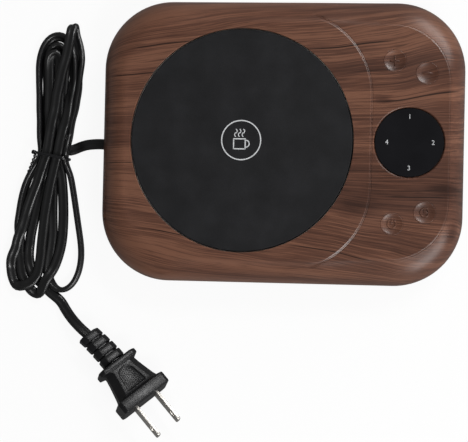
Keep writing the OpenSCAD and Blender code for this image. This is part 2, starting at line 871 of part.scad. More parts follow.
module power_key() {
    key_cap(POWER_AT) {
        difference() {
            mark_ring();
            translate([-mark_size / 4, 0])
                square([mark_size / 2, mark_size]);
        }
        translate([-mark_line / 2, 0])
            square([mark_line, mark_size / 2 + mark_line / 2]);
    }
}

module timer_key() {
    key_cap(TIMER_AT) {
        mark_ring();
        translate([-mark_line / 2, 0])
            square([mark_line, (mark_size - mark_line) / 2]);
        translate([-mark_line / 2, -mark_line / 2])
            square([(mark_size - mark_line) / 2, mark_line]);
    }
}

module plus_key() {
    key_cap(PLUS_AT) {
        mark_bar(mark_size);
        rotate(90)
            mark_bar(mark_size);
    }
}

module minus_key() {
    key_cap(MINUS_AT)
        mark_bar(mark_size);
}

module tact_switch(at) {
    color("#2b2b2e")
        translate([at[0], at[1], control_top])
            difference() {
                translate([-switch_w / 2, -switch_w / 2, 0])
                    cube([switch_w, switch_w, switch_h]);
                translate([0, 0, switch_h - guide_depth])
                    cylinder(d = plunger_d + 2 * close_fit, h = guide_depth + cut);
            }
}

module tact_plunger(at) {
    plunger_in = guide_depth - key_travel - fit;
    color("#d0cdc4")
        translate([at[0], at[1], switch_top - plunger_in])
            cylinder(d = plunger_d, h = plunger_in + plunger_rise);
}

module power_switch() { tact_switch(POWER_AT); }
module timer_switch() { tact_switch(TIMER_AT); }
module plus_switch() { tact_switch(PLUS_AT); }
module minus_switch() { tact_switch(MINUS_AT); }
module power_plunger() { tact_plunger(POWER_AT); }
module timer_plunger() { tact_plunger(TIMER_AT); }
module plus_plunger() { tact_plunger(PLUS_AT); }
module minus_plunger() { tact_plunger(MINUS_AT); }

// ---------- Main board ----------

module main_board() {
    color("#2a6b3f")
        difference() {
            translate([0, main_board_y, main_top - board_t])
                linear_extrude(board_t)
                    rounded_rect(main_board_w, main_board_d, 2);
            both_sides(MAIN_HOLES)
                translate([0, 0, main_top - board_t - cut])
                    cylinder(d = small_screw_d + 2 * fit, h = board_t + 2 * cut);
        }
}

module main_board_screws() {
    color("silver")
        both_sides(MAIN_HOLES)
            translate([0, 0, main_top])
                screw(small_screw_d, main_screw_len);
}

// The children at a place counted from the main board's centre, on its top face
module at_main_board(at) {
    translate([at[0], main_board_y + at[1], main_top])
        children();
}

// Block that stands on the main board, by its centre and size
module on_main_board(at, size) {
    at_main_board(at)
        translate([-size[0] / 2, -size[1] / 2, 0])
            cube(size);
}

// Top face of a socket on the main board, at its centre
function socket_top(at, size) = [at[0], main_board_y + at[1], main_top + size[2]];

module relay() {
    color("#2c4f8f")
        on_main_board(relay_at, relay_size);
}

module transformer() {
    color("#e0b23a")
        on_main_board(transformer_at, coil_size);
    color("#3a3a3e")
        difference() {
            on_main_board(transformer_at, core_size);
            on_main_board(transformer_at, coil_size + [slab, slab, cut]);
        }
}

module film_capacitor() {
    color("#c9a437")
        on_main_board(film_capacitor_at, film_capacitor_size);
}

module smoothing_capacitor() {
    color("#22304f")
        at_main_board(smoothing_capacitor_at)
            translate([-smoothing_capacitor_len / 2, 0, smoothing_capacitor_d / 2])
                rotate([0, 90, 0])
                    cylinder(d = smoothing_capacitor_d, h = smoothing_capacitor_len);
}

module mains_fuse() {
    color("#d9dde0")
        at_main_board(mains_fuse_at)
            translate([-mains_fuse_len / 2, 0, mains_fuse_d / 2 + fuse_holder_size[2] / 2])
                rotate([0, 90, 0])
                    cylinder(d = mains_fuse_d, h = mains_fuse_len);
    color("#b9bcc0")
        for (side = [-1, 1])
            on_main_board(mains_fuse_at + [side * fuse_holder_from, 0], fuse_holder_size);
}

module terminal_block() {
    color("#2d7a55")
        on_main_board(terminal_at, terminal_size);
}

module heater_socket() {
    color("#ece8da")
        on_main_board(heater_socket_at, heater_socket_size);
}

module sensor_socket() {
    color("#ece8da")
        on_main_board(sensor_socket_at, sensor_socket_size);
}

module control_socket() {
    color("#ece8da")
        on_main_board(control_socket_at, control_socket_size);
}

// ---------- Inner wiring ----------

module mains_leads() {
    from = [cord_x, grommet_inner_y, cord_z];
    to = socket_top(terminal_at, terminal_size) + [0, terminal_size[1] / 2, 3 - terminal_size[2]];
    apart = [1.4, 3];
    color("#8a4b2c")
        for (side = [-1, 1])
            lead([
                from + side * [apart[0], 0, 0],
                from + side * [apart[0], 0, 0] + [side * 0.2, -3, 0.3],
                (from + to) / 2 + side * [(apart[0] + apart[1]) / 2, 0, 0],
                to + side * [apart[1], 0, 0] + [-side * 0.1, 3, -0.2],
                to + side * [apart[1], 0, 0]
            ], wire_d, wire_d, [0, 0, 1], [0, -1, 0], [0, -1, 0]);
}

module heater_leads() {
    apart = 1.6;
    from = socket_top(heater_socket_at, heater_socket_size);
    to = [heater_port[0], heater_port[1], heater_bottom];
    port_low = [to[0], to[1] - 0.4, clamp_bottom];
    route = [from, from + [0, 0.4, 1.5], (from + port_low) / 2, port_low, to];
    color("#d8d4c8")
        for (side = [-apart, apart])
            lead([for (p = route) p + [side, 0, 0]], wire_d, wire_d, [1, 0, 0], [0, 0, 1], [0, 0, 1]);
}

module sensor_leads() {
    apart = [1.2, 1];
    from = socket_top(sensor_socket_at, sensor_socket_size);
    to = [0, plate_y, heater_bottom - sensor_len];
    route = [
        from, from + [0, 0.6, 1.5], from + [1, 8, 2.4], from + [3, 24, 2.2],
        to - [0, 4, 3], to - [0, 0.4, 1.2], to
    ];
    last_point = len(route) - 1;
    closing = (apart[1] - apart[0]) / last_point;
    color("#c23b30")
        for (side = [-1, 1])
            lead([for (i = [0:last_point]) route[i] + [side * (apart[0] + closing * i), 0, 0]],
                thin_wire_d, thin_wire_d, [1, 0, 0], [0, 0, 1], [0, 0, 1]);
}

module control_cable() {
    from = [control_header_at[0], control_header_at[1], control_top - board_t - control_header_size[2]];
    to = socket_top(control_socket_at, control_socket_size);
    color("#d9d9d6")
        lead([
            from,
            from + [0, 0.3, -1.4],
            from + [1, 3, -2.2],
            (from + to) / 2 + [0, 0, 1],
            to + [-1, -3.6, 2.6],
            to + [0, -0.4, 1.9],
            to
        ], ribbon[0], ribbon[1], [0, 0.5, 0.9], [0, 0, -1], [0, 0, -1]);
}

// ---------- Strain relief of the lead ----------

module cord_grommet() {
    sleeve_y = grommet_flange_y - fit - grommet_flange_t;
    half_y = (sleeve_y + grommet_inner_y) / 2;
    taper = 0.4;
    color("#1a1a1c")
        union() {
            translate([cord_x, sleeve_y, cord_z])
                rotate([-90, 0, 0])
                    linear_extrude(cord_exit_y - sleeve_y)
                        rounded_rect(grommet_w, grommet_t, grommet_r);
            translate([cord_x, sleeve_y, cord_z])
                rotate([-90, 0, 0])
                    linear_extrude(grommet_flange_t)
                        rounded_rect(grommet_flange_w, grommet_flange_h, 2);
            translate([cord_x, half_y, cord_z])
                rotate([-90, 0, 0])
                    linear_extrude(sleeve_y - half_y + slab)
                        rounded_rect(grommet_w - 2 * taper, grommet_t - taper, grommet_r - taper / 2);
            translate([cord_x, grommet_inner_y, cord_z])
                rotate([-90, 0, 0])
                    linear_extrude(half_y - grommet_inner_y + slab)
                        rounded_rect(grommet_w - 4 * taper, grommet_t - 2 * taper, grommet_r - taper);
        }
}

module cord_clamp() {
    color("#3a3a3e")
        difference() {
            translate([cord_x - clamp_bar[0] / 2, clamp_bar_y - clamp_bar[1] / 2, clamp_bar_bottom])
                cube(clamp_bar);
            for (side = [-1, 1])
                translate([cord_x + side * clamp_post_x, clamp_bar_y, cord_z])
                    cylinder(d = small_screw_d + 2 * fit, h = top_z);
        }
}

module cord_clamp_screws() {
    color("silver")
        for (side = [-1, 1])
            translate([cord_x + side * clamp_post_x, clamp_bar_y, clamp_bar_bottom + clamp_bar[2]])
                screw(small_screw_d, bar_screw_len);
}

// ---------- Free lead, hank, tie and plug ----------

module power_cord() {
    color("#1b1b1d")
        behind_housing()
            lead(LEAD_ROUTE, cord_w, cord_t, [0, 0, 1], [0, 1, 0], [0, 1, 0]);
}

module cord_tail() {
    color("#1b1b1d")
        behind_housing()
            lead(TAIL_ROUTE, cord_w, cord_t, [0, 0, 1], hank_leave, plug_axis, plug_roll);
}

module hank_waist() {
    translate(HANK_WAIST[0])
        square(HANK_WAIST[1] - HANK_WAIST[0]);
}

// The whole folded length as one block, with a slot for the tie and a mouth at each end of the lead
module cord_hank() {
    lead_end = LEAD_ROUTE[len(LEAD_ROUTE) - 1];
    color("#1b1b1d")
        behind_housing()
            difference() {
                union() {
                    for (half = [HANK_TOP, HANK_BOTTOM])
                        linear_extrude(hank_h)
                            hull() {
                                hank_waist();
                                for (c = half)
                                    translate([c[0], c[1]])
                                        circle(c[2], $fn = 32);
                            }
                    translate([lead_end[0] - cord_w / 2, lead_end[1], lead_end[2] - cord_t / 2])
                        cube([cord_w, mouth_len, cord_t]);
                    translate(TAIL_ROUTE[0])
                        rotate([0, 0, tail_start])
                            translate([-mouth_len, -cord_w / 2, -cord_t / 2])
                                cube([mouth_len, cord_w, cord_t]);
                }
                translate([tie_at[0], tie_at[1], 0])
                    rotate([0, 0, tie_turn])
                        difference() {
                            translate([-tie_w / 2 - fit, -tie_slot_reach, -cut])
                                cube([tie_w + 2 * fit, 2 * tie_slot_reach, hank_h + 2 * cut]);
                            translate([-tie_w / 2 - cut, -tie_half, tie_base + tie_t + fit])
                                cube([tie_w + 2 * cut, 2 * tie_half, hank_h]);
                        }
            }
}

module twist_tie() {
    half_span = tie_half + fit + tie_t;
    knot_from = half_span - tie_t;
    color("#141416")
        behind_housing()
            translate([tie_at[0], tie_at[1], tie_base])
                rotate([0, 0, tie_turn]) {
                    difference() {
                        translate([-tie_w / 2, -half_span, 0])
                            cube([tie_w, 2 * half_span, hank_h + fit + tie_t]);
                        translate([-tie_w, -half_span + tie_t, tie_t])
                            cube([2 * tie_w, 2 * (half_span - tie_t), hank_h + fit - tie_t]);
                    }
                    translate([-tie_knot[0] / 2, knot_from, hank_h - tie_knot[2] / 2])
                        cube(tie_knot);
                    translate([0, knot_from + tie_knot[1] / 2, hank_h + fit + tie_tail_d / 2])
                        rotate([0, 90, tie_tail_turn])
                            cylinder(d = tie_tail_d, h = tie_tail_len);
                }
}

module in_plug_frame() {
    behind_housing()
        translate(plug_rear)
            rotate([-plug_roll, -plug_pitch, plug_yaw])
                children();
}

// Rounded block along the plug's axis, from one distance to another
module plug_block(from, length, w, t, r = plug_r) {
    translate([from, 0, 0])
        rotate([90, 0, 90])
            linear_extrude(length)
                rounded_rect(w, t, r);
}

module plug_body() {
    rib_pitch = relief_len / relief_ribs;
    core = [relief_w - 2.4, relief_t - 2];
    core_r = 2;
    body_from = relief_len + rear_flange[0];
    flange_from = body_from + plug_body_len;
    side_slope = atan((plug_front[1] - plug_neck[1]) / 2 / plug_body_len);
    side_mid = (plug_front[1] + plug_neck[1]) / 4;
    color("#222225")
        in_plug_frame()
            difference() {
                union() {
                    plug_block(0, relief_len, core[0], core[1], core_r);
                    for (i = [0:relief_ribs - 1])
                        plug_block(i * rib_pitch, rib_pitch - rib_gap,
                            relief_w + i * rib_growth[0], relief_t + i * rib_growth[1]);
                    plug_block(relief_len, rear_flange[0], rear_flange[1], rear_flange[2]);
                    hull() {
                        plug_block(body_from, slab, plug_neck[0], plug_neck[1]);
                        plug_block(flange_from - slab, slab, plug_front[0], plug_front[1]);
                    }
                    plug_block(flange_from, front_flange[0], front_flange[1], front_flange[2]);
                }
                for (side = [-1, 1])
                    translate([body_from + plug_body_len / 2, 0, side * side_mid])
                        rotate([0, -side * side_slope, 0])
                            cylinder(d = patch_d, h = 2 * patch_depth, center = true, $fn = 32);
                for (side = [-1, 1])
                    translate([plug_len - blade_root, side * blade_pitch / 2 - blade_t / 2, -blade_w / 2])
                        cube([blade_root + cut, blade_t, blade_w]);
            }
}

module plug_blades() {
    half_w = blade_w / 2;
    color("#c9ccd0")
        in_plug_frame()
            for (side = [-1, 1])
                translate([plug_len, side * blade_pitch / 2, 0])
                    rotate([90, 0, 0])
                        difference() {
                            translate([0, 0, -blade_t / 2])
                                linear_extrude(blade_t)
                                    polygon([
                                        [-blade_root, -half_w], [blade_len - blade_tip, -half_w],
                                        [blade_len, blade_tip - half_w], [blade_len, half_w - blade_tip],
                                        [blade_len - blade_tip, half_w], [-blade_root, half_w]
                                    ]);
                            translate([blade_hole_at, 0, -blade_t])
                                cylinder(d = blade_hole_d, h = 2 * blade_t);
                        }
}

top_cover();
bottom_cover();
rubber_feet();
housing_screws();
heating_plate();
plate_seal();
heater_element();
insulation_pad();
clamp_plate();
clamp_screws();
temperature_sensor();
thermal_fuse();
fuse_clip();
display_lens();
display_module();
control_board();
control_board_screws();
control_chip();
buzzer();
control_header();
power_key();
timer_key();
plus_key();
minus_key();
power_switch();
timer_switch();
plus_switch();
minus_switch();
power_plunger();
timer_plunger();
plus_plunger();
minus_plunger();
main_board();
main_board_screws();
relay();
transformer();
film_capacitor();
smoothing_capacitor();
mains_fuse();
terminal_block();
heater_socket();
sensor_socket();
control_socket();
mains_leads();
heater_leads();
sensor_leads();
control_cable();
cord_grommet();
cord_clamp();
cord_clamp_screws();
power_cord();
cord_hank();
cord_tail();
twist_tie();
plug_body();
plug_blades();
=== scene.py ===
"""Electric mug warmer: wood-print housing, round warming plate, key panel and folded flat lead."""

import logging
import math
from dataclasses import dataclass, field
from enum import Enum
from typing import Dict, Iterable, List, Optional, Sequence, Tuple

import bmesh
import bpy
import numpy as np
from mathutils import Matrix, Vector

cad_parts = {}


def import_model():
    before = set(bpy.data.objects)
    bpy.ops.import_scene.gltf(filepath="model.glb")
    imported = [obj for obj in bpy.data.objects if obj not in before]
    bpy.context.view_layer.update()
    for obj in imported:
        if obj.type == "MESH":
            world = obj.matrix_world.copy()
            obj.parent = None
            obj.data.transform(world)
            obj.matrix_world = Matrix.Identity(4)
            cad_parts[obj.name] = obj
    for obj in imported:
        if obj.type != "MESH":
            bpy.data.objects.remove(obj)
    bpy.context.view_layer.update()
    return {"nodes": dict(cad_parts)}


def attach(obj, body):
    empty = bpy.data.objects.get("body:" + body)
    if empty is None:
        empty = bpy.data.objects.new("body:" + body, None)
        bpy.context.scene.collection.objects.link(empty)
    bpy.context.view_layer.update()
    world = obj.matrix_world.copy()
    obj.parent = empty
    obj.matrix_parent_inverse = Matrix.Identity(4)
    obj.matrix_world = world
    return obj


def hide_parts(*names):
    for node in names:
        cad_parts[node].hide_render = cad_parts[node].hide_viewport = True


LOG = logging.getLogger("mug_warmer")

MM = 0.001
# distance in millimetres at which points are one
WELD = 1e-4
# how far a face may turn from level, as the height of its normal, and lie from a height
LEVEL_NORMAL = 0.99999
LEVEL_GAP = 1e-3
# keeps a division by a length of nothing away
TINY = 1e-9
# half the thickness of a printed line, and how far its middle lies above what it is printed on
PRINT_HALF = 0.01
PRINT_LIFT = 0.012

Point = Tuple[float, float, float]
Pair = Tuple[float, float]
Colour = Tuple[float, float, float]


# ---------------------------------------------------------------- mesh helpers


class MeshShop:
    """Operators that every piece of the warmer is modelled with, in millimetres."""

    @staticmethod
    def spin(profile: Sequence[Pair], steps: int, centre: Point = (0, 0, 0)) -> bmesh.types.BMesh:
        """Turn a radius and height profile into a closed round form.

        Args:
            profile: Points as radius and height, from one end on the axis to the other.
            steps: Number of segments round the axis.
            centre: Place of the axis and the zero of height.

        Returns:
            A new bmesh with its faces pointing outwards.
        """
        bm = bmesh.new()
        verts = [bm.verts.new((r, 0.0, z)) for r, z in profile]
        edges = [bm.edges.new(pair) for pair in zip(verts, verts[1:])]
        bmesh.ops.spin(bm, geom=verts + edges, cent=(0, 0, 0), axis=(0, 0, 1),
                       angle=math.tau, steps=steps, use_merge=True)
        bmesh.ops.remove_doubles(bm, verts=bm.verts, dist=WELD)
        bmesh.ops.recalc_face_normals(bm, faces=bm.faces)
        bmesh.ops.translate(bm, vec=centre, verts=bm.verts)
        return bm

    @staticmethod
    def chain(rings: Sequence[Sequence[Point]], close: bool = False) -> bmesh.types.BMesh:
        """Draw a circle of edges onto the first ring and extrude it through the others.

        Args:
            rings: Rings of equally many points, each in the same order.
            close: Whether the last ring joins the first one. If not, both ends get a face.

        Returns:
            A new bmesh with its faces pointing outwards.
        """
        bm = bmesh.new()
        order = bm.verts.layers.int.new("order")
        made = bmesh.ops.create_circle(bm, cap_ends=False, segments=len(rings[0]), radius=1.0)
        for index, vert in enumerate(made["verts"]):
            vert[order] = index
            vert.co = rings[0][index]
        first = list(bm.edges)
        edges = first
        for ring in rings[1:]:
            grown = bmesh.ops.extrude_edge_only(bm, edges=edges)["geom"]
            for vert in (g for g in grown if isinstance(g, bmesh.types.BMVert)):
                vert.co = ring[vert[order]]
            edges = [g for g in grown if isinstance(g, bmesh.types.BMEdge) and g.is_boundary]
        if close:
            bmesh.ops.bridge_loops(bm, edges=first + edges)
        else:
            for rim in (first, edges):
                bmesh.ops.contextual_create(bm, geom=rim)
        bmesh.ops.recalc_face_normals(bm, faces=bm.faces)
        return bm

    @staticmethod
    def block(size: Point, bevel: float = 0.0, segments: int = 2) -> bmesh.types.BMesh:
        """Make a block round the origin with rounded edges.

        Args:
            size: Full size along X, Y and Z.
            bevel: Radius of the edges, none at zero.
            segments: Steps round an edge.

        Returns:
            A new bmesh.
        """
        bm = bmesh.new()
        bmesh.ops.create_cube(bm, size=1.0)
        bmesh.ops.scale(bm, vec=size, verts=bm.verts)
        if bevel > 0:
            bmesh.ops.bevel(bm, geom=list(bm.edges), offset=bevel, segments=segments,
                            affect="EDGES", profile=0.5, material=-1)
        return bm

    @staticmethod
    def join(parts: Iterable[bmesh.types.BMesh]) -> bmesh.types.BMesh:
        """Gather several forms into one bmesh and free them.

        Args:
            parts: The forms.

        Returns:
            One bmesh with all of them.
        """
        whole = bmesh.new()
        for part in parts:
            mesh = bpy.data.meshes.new("part")
            part.to_mesh(mesh)
            part.free()
            whole.from_mesh(mesh)
            bpy.data.meshes.remove(mesh)
        return whole

    @staticmethod
    def finish(bm: bmesh.types.BMesh, name: str, material: Optional[bpy.types.Material],
               sharp: float = 32.0, flat_z: Optional[float] = None) -> bpy.types.Object:
        """Turn a bmesh in millimetres into a smooth shaded object in metres.

        Args:
            bm: The form, which is freed.
            name: Name of the object.
            material: Its finish.
            sharp: Angle in degrees above which an edge stays crisp.
            flat_z: Height of a flat face whose rim stays crisp whatever its angle.

        Returns:
            The object, linked to the scene.
        """
        for face in bm.faces:
            face.smooth = True
        limit = math.radians(sharp)
        for edge in bm.edges:
            if len(edge.link_faces) != 2:
                continue
            crisp = edge.calc_face_angle(0.0) > limit
            if flat_z is not None and not crisp:
                level = [f.normal.z > LEVEL_NORMAL and abs(f.verts[0].co.z - flat_z) < LEVEL_GAP
                         for f in edge.link_faces]
                crisp = level[0] != level[1]
            edge.smooth = not crisp
        mesh = bpy.data.meshes.new(name)
        bm.to_mesh(mesh)
        bm.free()
        mesh.transform(Matrix.Scale(MM, 4))
        if material is not None:
            mesh.materials.append(material)
        obj = bpy.data.objects.new(name, mesh)
        bpy.context.scene.collection.objects.link(obj)
        return obj

    @staticmethod
    def carve(body: bmesh.types.BMesh, cutters: Sequence[bmesh.types.BMesh]) -> bmesh.types.BMesh:
        """Cut closed forms out of another one.

        Args:
            body: The form that is cut, which is freed.
            cutters: The forms that are taken away, clear of each other, which are freed.

        Returns:
            The cut form.
        """
        target = MeshShop.finish(body, "carved", None)
        tool = MeshShop.finish(MeshShop.join(cutters), "cutter", None)
        cut = target.modifiers.new("cut", "BOOLEAN")
        cut.operation = "DIFFERENCE"
        cut.solver = "EXACT"
        cut.object = tool
        shape = target.evaluated_get(bpy.context.evaluated_depsgraph_get())
        mesh = bpy.data.meshes.new_from_object(shape)
        mesh.transform(Matrix.Scale(1 / MM, 4))
        result = bmesh.new()
        result.from_mesh(mesh)
        bmesh.ops.remove_doubles(result, verts=result.verts, dist=WELD)
        for obj in (target, tool):
            old = obj.data
            bpy.data.objects.remove(obj)
            bpy.data.meshes.remove(old)
        bpy.data.meshes.remove(mesh)
        return result


def rounded_box_ring(width: float, depth: float, radius: float, steps: int) -> List[Pair]:
    """Points of a rounded rectangle round the origin, counterclockwise.

    Args:
        width: Full size along the first axis.
        depth: Full size along the second axis.
        radius: Corner radius.
        steps: Steps round each corner.

    Returns:
        The points as pairs.
    """
    points = []
    for corner, (sx, sy) in enumerate(((1, 1), (-1, 1), (-1, -1), (1, -1))):
        for step in range(steps + 1):
            angle = math.radians(90 * (corner + step / steps))
            points.append((sx * (width / 2 - radius) + radius * math.cos(angle),
                           sy * (depth / 2 - radius) + radius * math.sin(angle)))
    return points


def toned(colour: Colour, factor: float) -> Colour:
    """A colour made darker or paler by a factor."""
    return tuple(factor * c for c in colour)


# ---------------------------------------------------------------- shader helpers


class Graph:
    """Adds nodes to one node tree and links them by their socket names."""

    def __init__(self, tree: bpy.types.NodeTree) -> None:
        """Keep the tree that the nodes go into."""
        self.tree = tree

    def add(self, kind: str, props: Optional[Dict[str, object]] = None,
            inputs: Optional[Dict[object, object]] = None) -> bpy.types.Node:
        """Add one node.

        Args:
            kind: Node type without its ShaderNode prefix.
            props: Attributes of the node.
            inputs: Values or output sockets by input name or index.

        Returns:
            The node.
        """
        prefix = "" if kind.startswith("NodeGroup") else "ShaderNode"
        node = self.tree.nodes.new(prefix + kind)
        for key, value in (props or {}).items():
            setattr(node, key, value)
        for key, value in (inputs or {}).items():
            if isinstance(value, bpy.types.NodeSocket):
                self.tree.links.new(value, node.inputs[key])
            else:
                node.inputs[key].default_value = value
        return node

    def maths(self, operation: str, *values: object) -> bpy.types.NodeSocket:
        """Add a Math node and return its result."""
        node = self.add("Math", {"operation": operation}, dict(enumerate(values)))
        return node.outputs[0]

    def ramp(self, factor: bpy.types.NodeSocket,
             stops: Sequence[Tuple[float, Colour]]) -> bpy.types.NodeSocket:
        """Add a colour ramp.

        Args:
            factor: What drives it.
            stops: Place and colour of each stop.

        Returns:
            Its colour.
        """
        node = self.add("ValToRGB", None, {"Fac": factor})
        elements = node.color_ramp.elements
        while len(elements) < len(stops):
            elements.new(0.5)
        for element, (place, colour) in zip(elements, stops):
            element.position = place
            element.color = (*colour, 1.0)
        return node.outputs["Color"]

    def mix(self, factor: object, first: object, second: object) -> bpy.types.NodeSocket:
        """Mix two colours.

        Args:
            factor: Share of the second one, as a value or a socket.
            first: Colour or socket that shows at zero.
            second: Colour or socket that shows at one.

        Returns:
            The mixed colour.
        """
        node = self.add("Mix", {"data_type": "RGBA"})
        for index, value in ((0, factor), (6, first), (7, second)):
            if isinstance(value, bpy.types.NodeSocket):
                self.tree.links.new(value, node.inputs[index])
            else:
                node.inputs[index].default_value = value if index == 0 else (*value, 1.0)
        return node.outputs[2]


class ShaderKit:
    """Node groups for the effects that several finishes share."""

    def __init__(self) -> None:
        """Build the groups."""
        self.skin = self._moulded_skin()
        self.handling = self._handling()

    @staticmethod
    def _group(name: str, inputs: Sequence[Tuple[str, str, float]],
               outputs: Sequence[Tuple[str, str]]) -> bpy.types.NodeTree:
        """Make an empty group with its sockets.

        Args:
            name: Name of the group.
            inputs: Name, kind and default of each input.
            outputs: Name and kind of each output.

        Returns:
            The group.
        """
        tree = bpy.data.node_groups.new(name, "ShaderNodeTree")
        for label, kind, value in inputs:
            socket = tree.interface.new_socket(label, in_out="INPUT", socket_type=kind)
            if kind == "NodeSocketFloat":
                socket.default_value = value
        for label, kind in outputs:
            tree.interface.new_socket(label, in_out="OUTPUT", socket_type=kind)
        return tree

    def _moulded_skin(self) -> bpy.types.NodeTree:
        """Fine spark-eroded skin of moulded plastic and rubber.

        Returns:
            A group that gives the height of the skin and the shade of its speckles.
        """
        tree = self._group("MouldedSkin",
                           [("Vector", "NodeSocketVector", 0),
                            ("Scale", "NodeSocketFloat", 3000.0)],
                           [("Height", "NodeSocketFloat"), ("Shade", "NodeSocketFloat")])
        graph = Graph(tree)
        source = graph.add("NodeGroupInput")
        grain = graph.add("TexNoise", None, {"Vector": source.outputs["Vector"],
                                             "Scale": source.outputs["Scale"],
                                             "Detail": 3.0, "Roughness": 0.6})
        broad = graph.add("TexNoise", None, {"Vector": source.outputs["Vector"],
                                             "Scale": 90.0, "Detail": 3.0})
        height = graph.maths("MULTIPLY_ADD", broad.outputs["Fac"], 0.3, grain.outputs["Fac"])
        shade = graph.maths("MULTIPLY_ADD", grain.outputs["Fac"], 0.5,
                            graph.maths("MULTIPLY", broad.outputs["Fac"], 0.5))
        graph.add("NodeGroupOutput", None, {"Height": height, "Shade": shade})
        return tree

    def _handling(self) -> bpy.types.NodeTree:
        """Roughness that varies softly where a surface is handled and wiped.

        Returns:
            A group that gives a roughness between its low and its high value.
        """
        tree = self._group("HandlingSheen",
                           [("Vector", "NodeSocketVector", 0), ("Low", "NodeSocketFloat", 0.3),
                            ("High", "NodeSocketFloat", 0.45)],
                           [("Roughness", "NodeSocketFloat")])
        graph = Graph(tree)
        source = graph.add("NodeGroupInput")
        smear = graph.add("TexNoise", None, {"Vector": source.outputs["Vector"], "Scale": 38.0,
                                             "Detail": 4.0, "Roughness": 0.6, "Distortion": 0.5})
        span = graph.add("MapRange", None, {"Value": smear.outputs["Fac"], "From Min": 0.3,
                                            "From Max": 0.7, "To Min": source.outputs["Low"],
                                            "To Max": source.outputs["High"]})
        graph.add("NodeGroupOutput", None, {"Roughness": span.outputs["Result"]})
        return tree


# ---------------------------------------------------------------- finishes


class Surface(Graph):
    """Nodes of one material, with its shader and the shared groups at hand."""

    def __init__(self, material: bpy.types.Material, kit: ShaderKit) -> None:
        """Take the material's nodes, its shader and the groups."""
        super().__init__(material.node_tree)
        self.shader = next(n for n in self.tree.nodes if n.type == "BSDF_PRINCIPLED")
        self.kit = kit

    def place(self) -> bpy.types.NodeSocket:
        """Object coordinates."""
        return self.add("TexCoord").outputs["Object"]

    def skin(self, where: bpy.types.NodeSocket, scale: float) -> bpy.types.Node:
        """The moulded skin at a scale."""
        return self.add("Group", {"node_tree": self.kit.skin}, {"Vector": where, "Scale": scale})

    def handling(self, where: bpy.types.NodeSocket, low: float,
                 high: float) -> bpy.types.NodeSocket:
        """The handled roughness between two values."""
        node = self.add("Group", {"node_tree": self.kit.handling},
                        {"Vector": where, "Low": low, "High": high})
        return node.outputs["Roughness"]

    def bump(self, height: bpy.types.NodeSocket, strength: float,
             distance: float) -> bpy.types.NodeSocket:
        """A normal from a height, with its distance in metres."""
        node = self.add("Bump", None, {"Height": height, "Strength": strength,
                                       "Distance": distance})
        return node.outputs["Normal"]

    def link(self, **inputs: object) -> None:
        """Link or set inputs of the shader.

        Args:
            inputs: Values or sockets by input name, with spaces written as underscores.
        """
        for key, value in inputs.items():
            socket = self.shader.inputs[key.replace("_", " ")]
            if isinstance(value, bpy.types.NodeSocket):
                self.tree.links.new(value, socket)
            else:
                socket.default_value = value


@dataclass(frozen=True)
class Finish:
    """A finish by the name of its material slot."""

    slot: str

    def paint(self, graph: Surface) -> None:
        """Set the material up; each kind of finish has its own way."""
        raise NotImplementedError

    def build(self, kit: ShaderKit) -> bpy.types.Material:
        """Make the material.

        Args:
            kit: The shared node groups.

        Returns:
            The material, named for its slot.
        """
        material = bpy.data.materials.new(f"{self.slot}_finish")
        material.use_nodes = True
        self.paint(Surface(material, kit))
        return material


@dataclass(frozen=True)
class Moulded(Finish):
    """Moulded plastic or rubber with a fine skin."""

    colour: Colour
    rough: Pair = (0.4, 0.5)
    grain: float = 2600.0
    depth: float = 0.00004
    gloss: float = 0.5
    coat: float = 0.0

    def paint(self, graph: Surface) -> None:
        """Speckled base colour, handled roughness and skin bump.

        Args:
            graph: The material's nodes.
        """
        where = graph.place()
        skin = graph.skin(where, self.grain)
        colour = graph.ramp(skin.outputs["Shade"], ((0.3, toned(self.colour, 0.82)),
                                                    (0.7, toned(self.colour, 1.18))))
        graph.link(Base_Color=colour,
                   Roughness=graph.handling(where, *self.rough),
                   Normal=graph.bump(skin.outputs["Height"], 0.5, self.depth),
                   Specular_IOR_Level=self.gloss, Coat_Weight=self.coat, Coat_Roughness=0.12)


@dataclass(frozen=True)
class Metal(Finish):
    """Bright or brushed metal."""

    colour: Colour
    rough: Pair = (0.2, 0.32)
    brush: Point = (400.0, 400.0, 400.0)

    def paint(self, graph: Surface) -> None:
        """Brushed streaks in colour and bump.

        Args:
            graph: The material's nodes.
        """
        where = graph.place()
        run = graph.add("Mapping", None, {"Vector": where, "Scale": self.brush})
        streak = graph.add("TexNoise", None, {"Vector": run.outputs["Vector"], "Scale": 6.0,
                                              "Detail": 5.0, "Roughness": 0.6})
        colour = graph.ramp(streak.outputs["Fac"], ((0.3, toned(self.colour, 0.85)),
                                                    (0.65, self.colour)))
        graph.link(Base_Color=colour, Metallic=1.0,
                   Roughness=graph.handling(where, *self.rough),
                   Normal=graph.bump(streak.outputs["Fac"], 0.25, 0.00003))


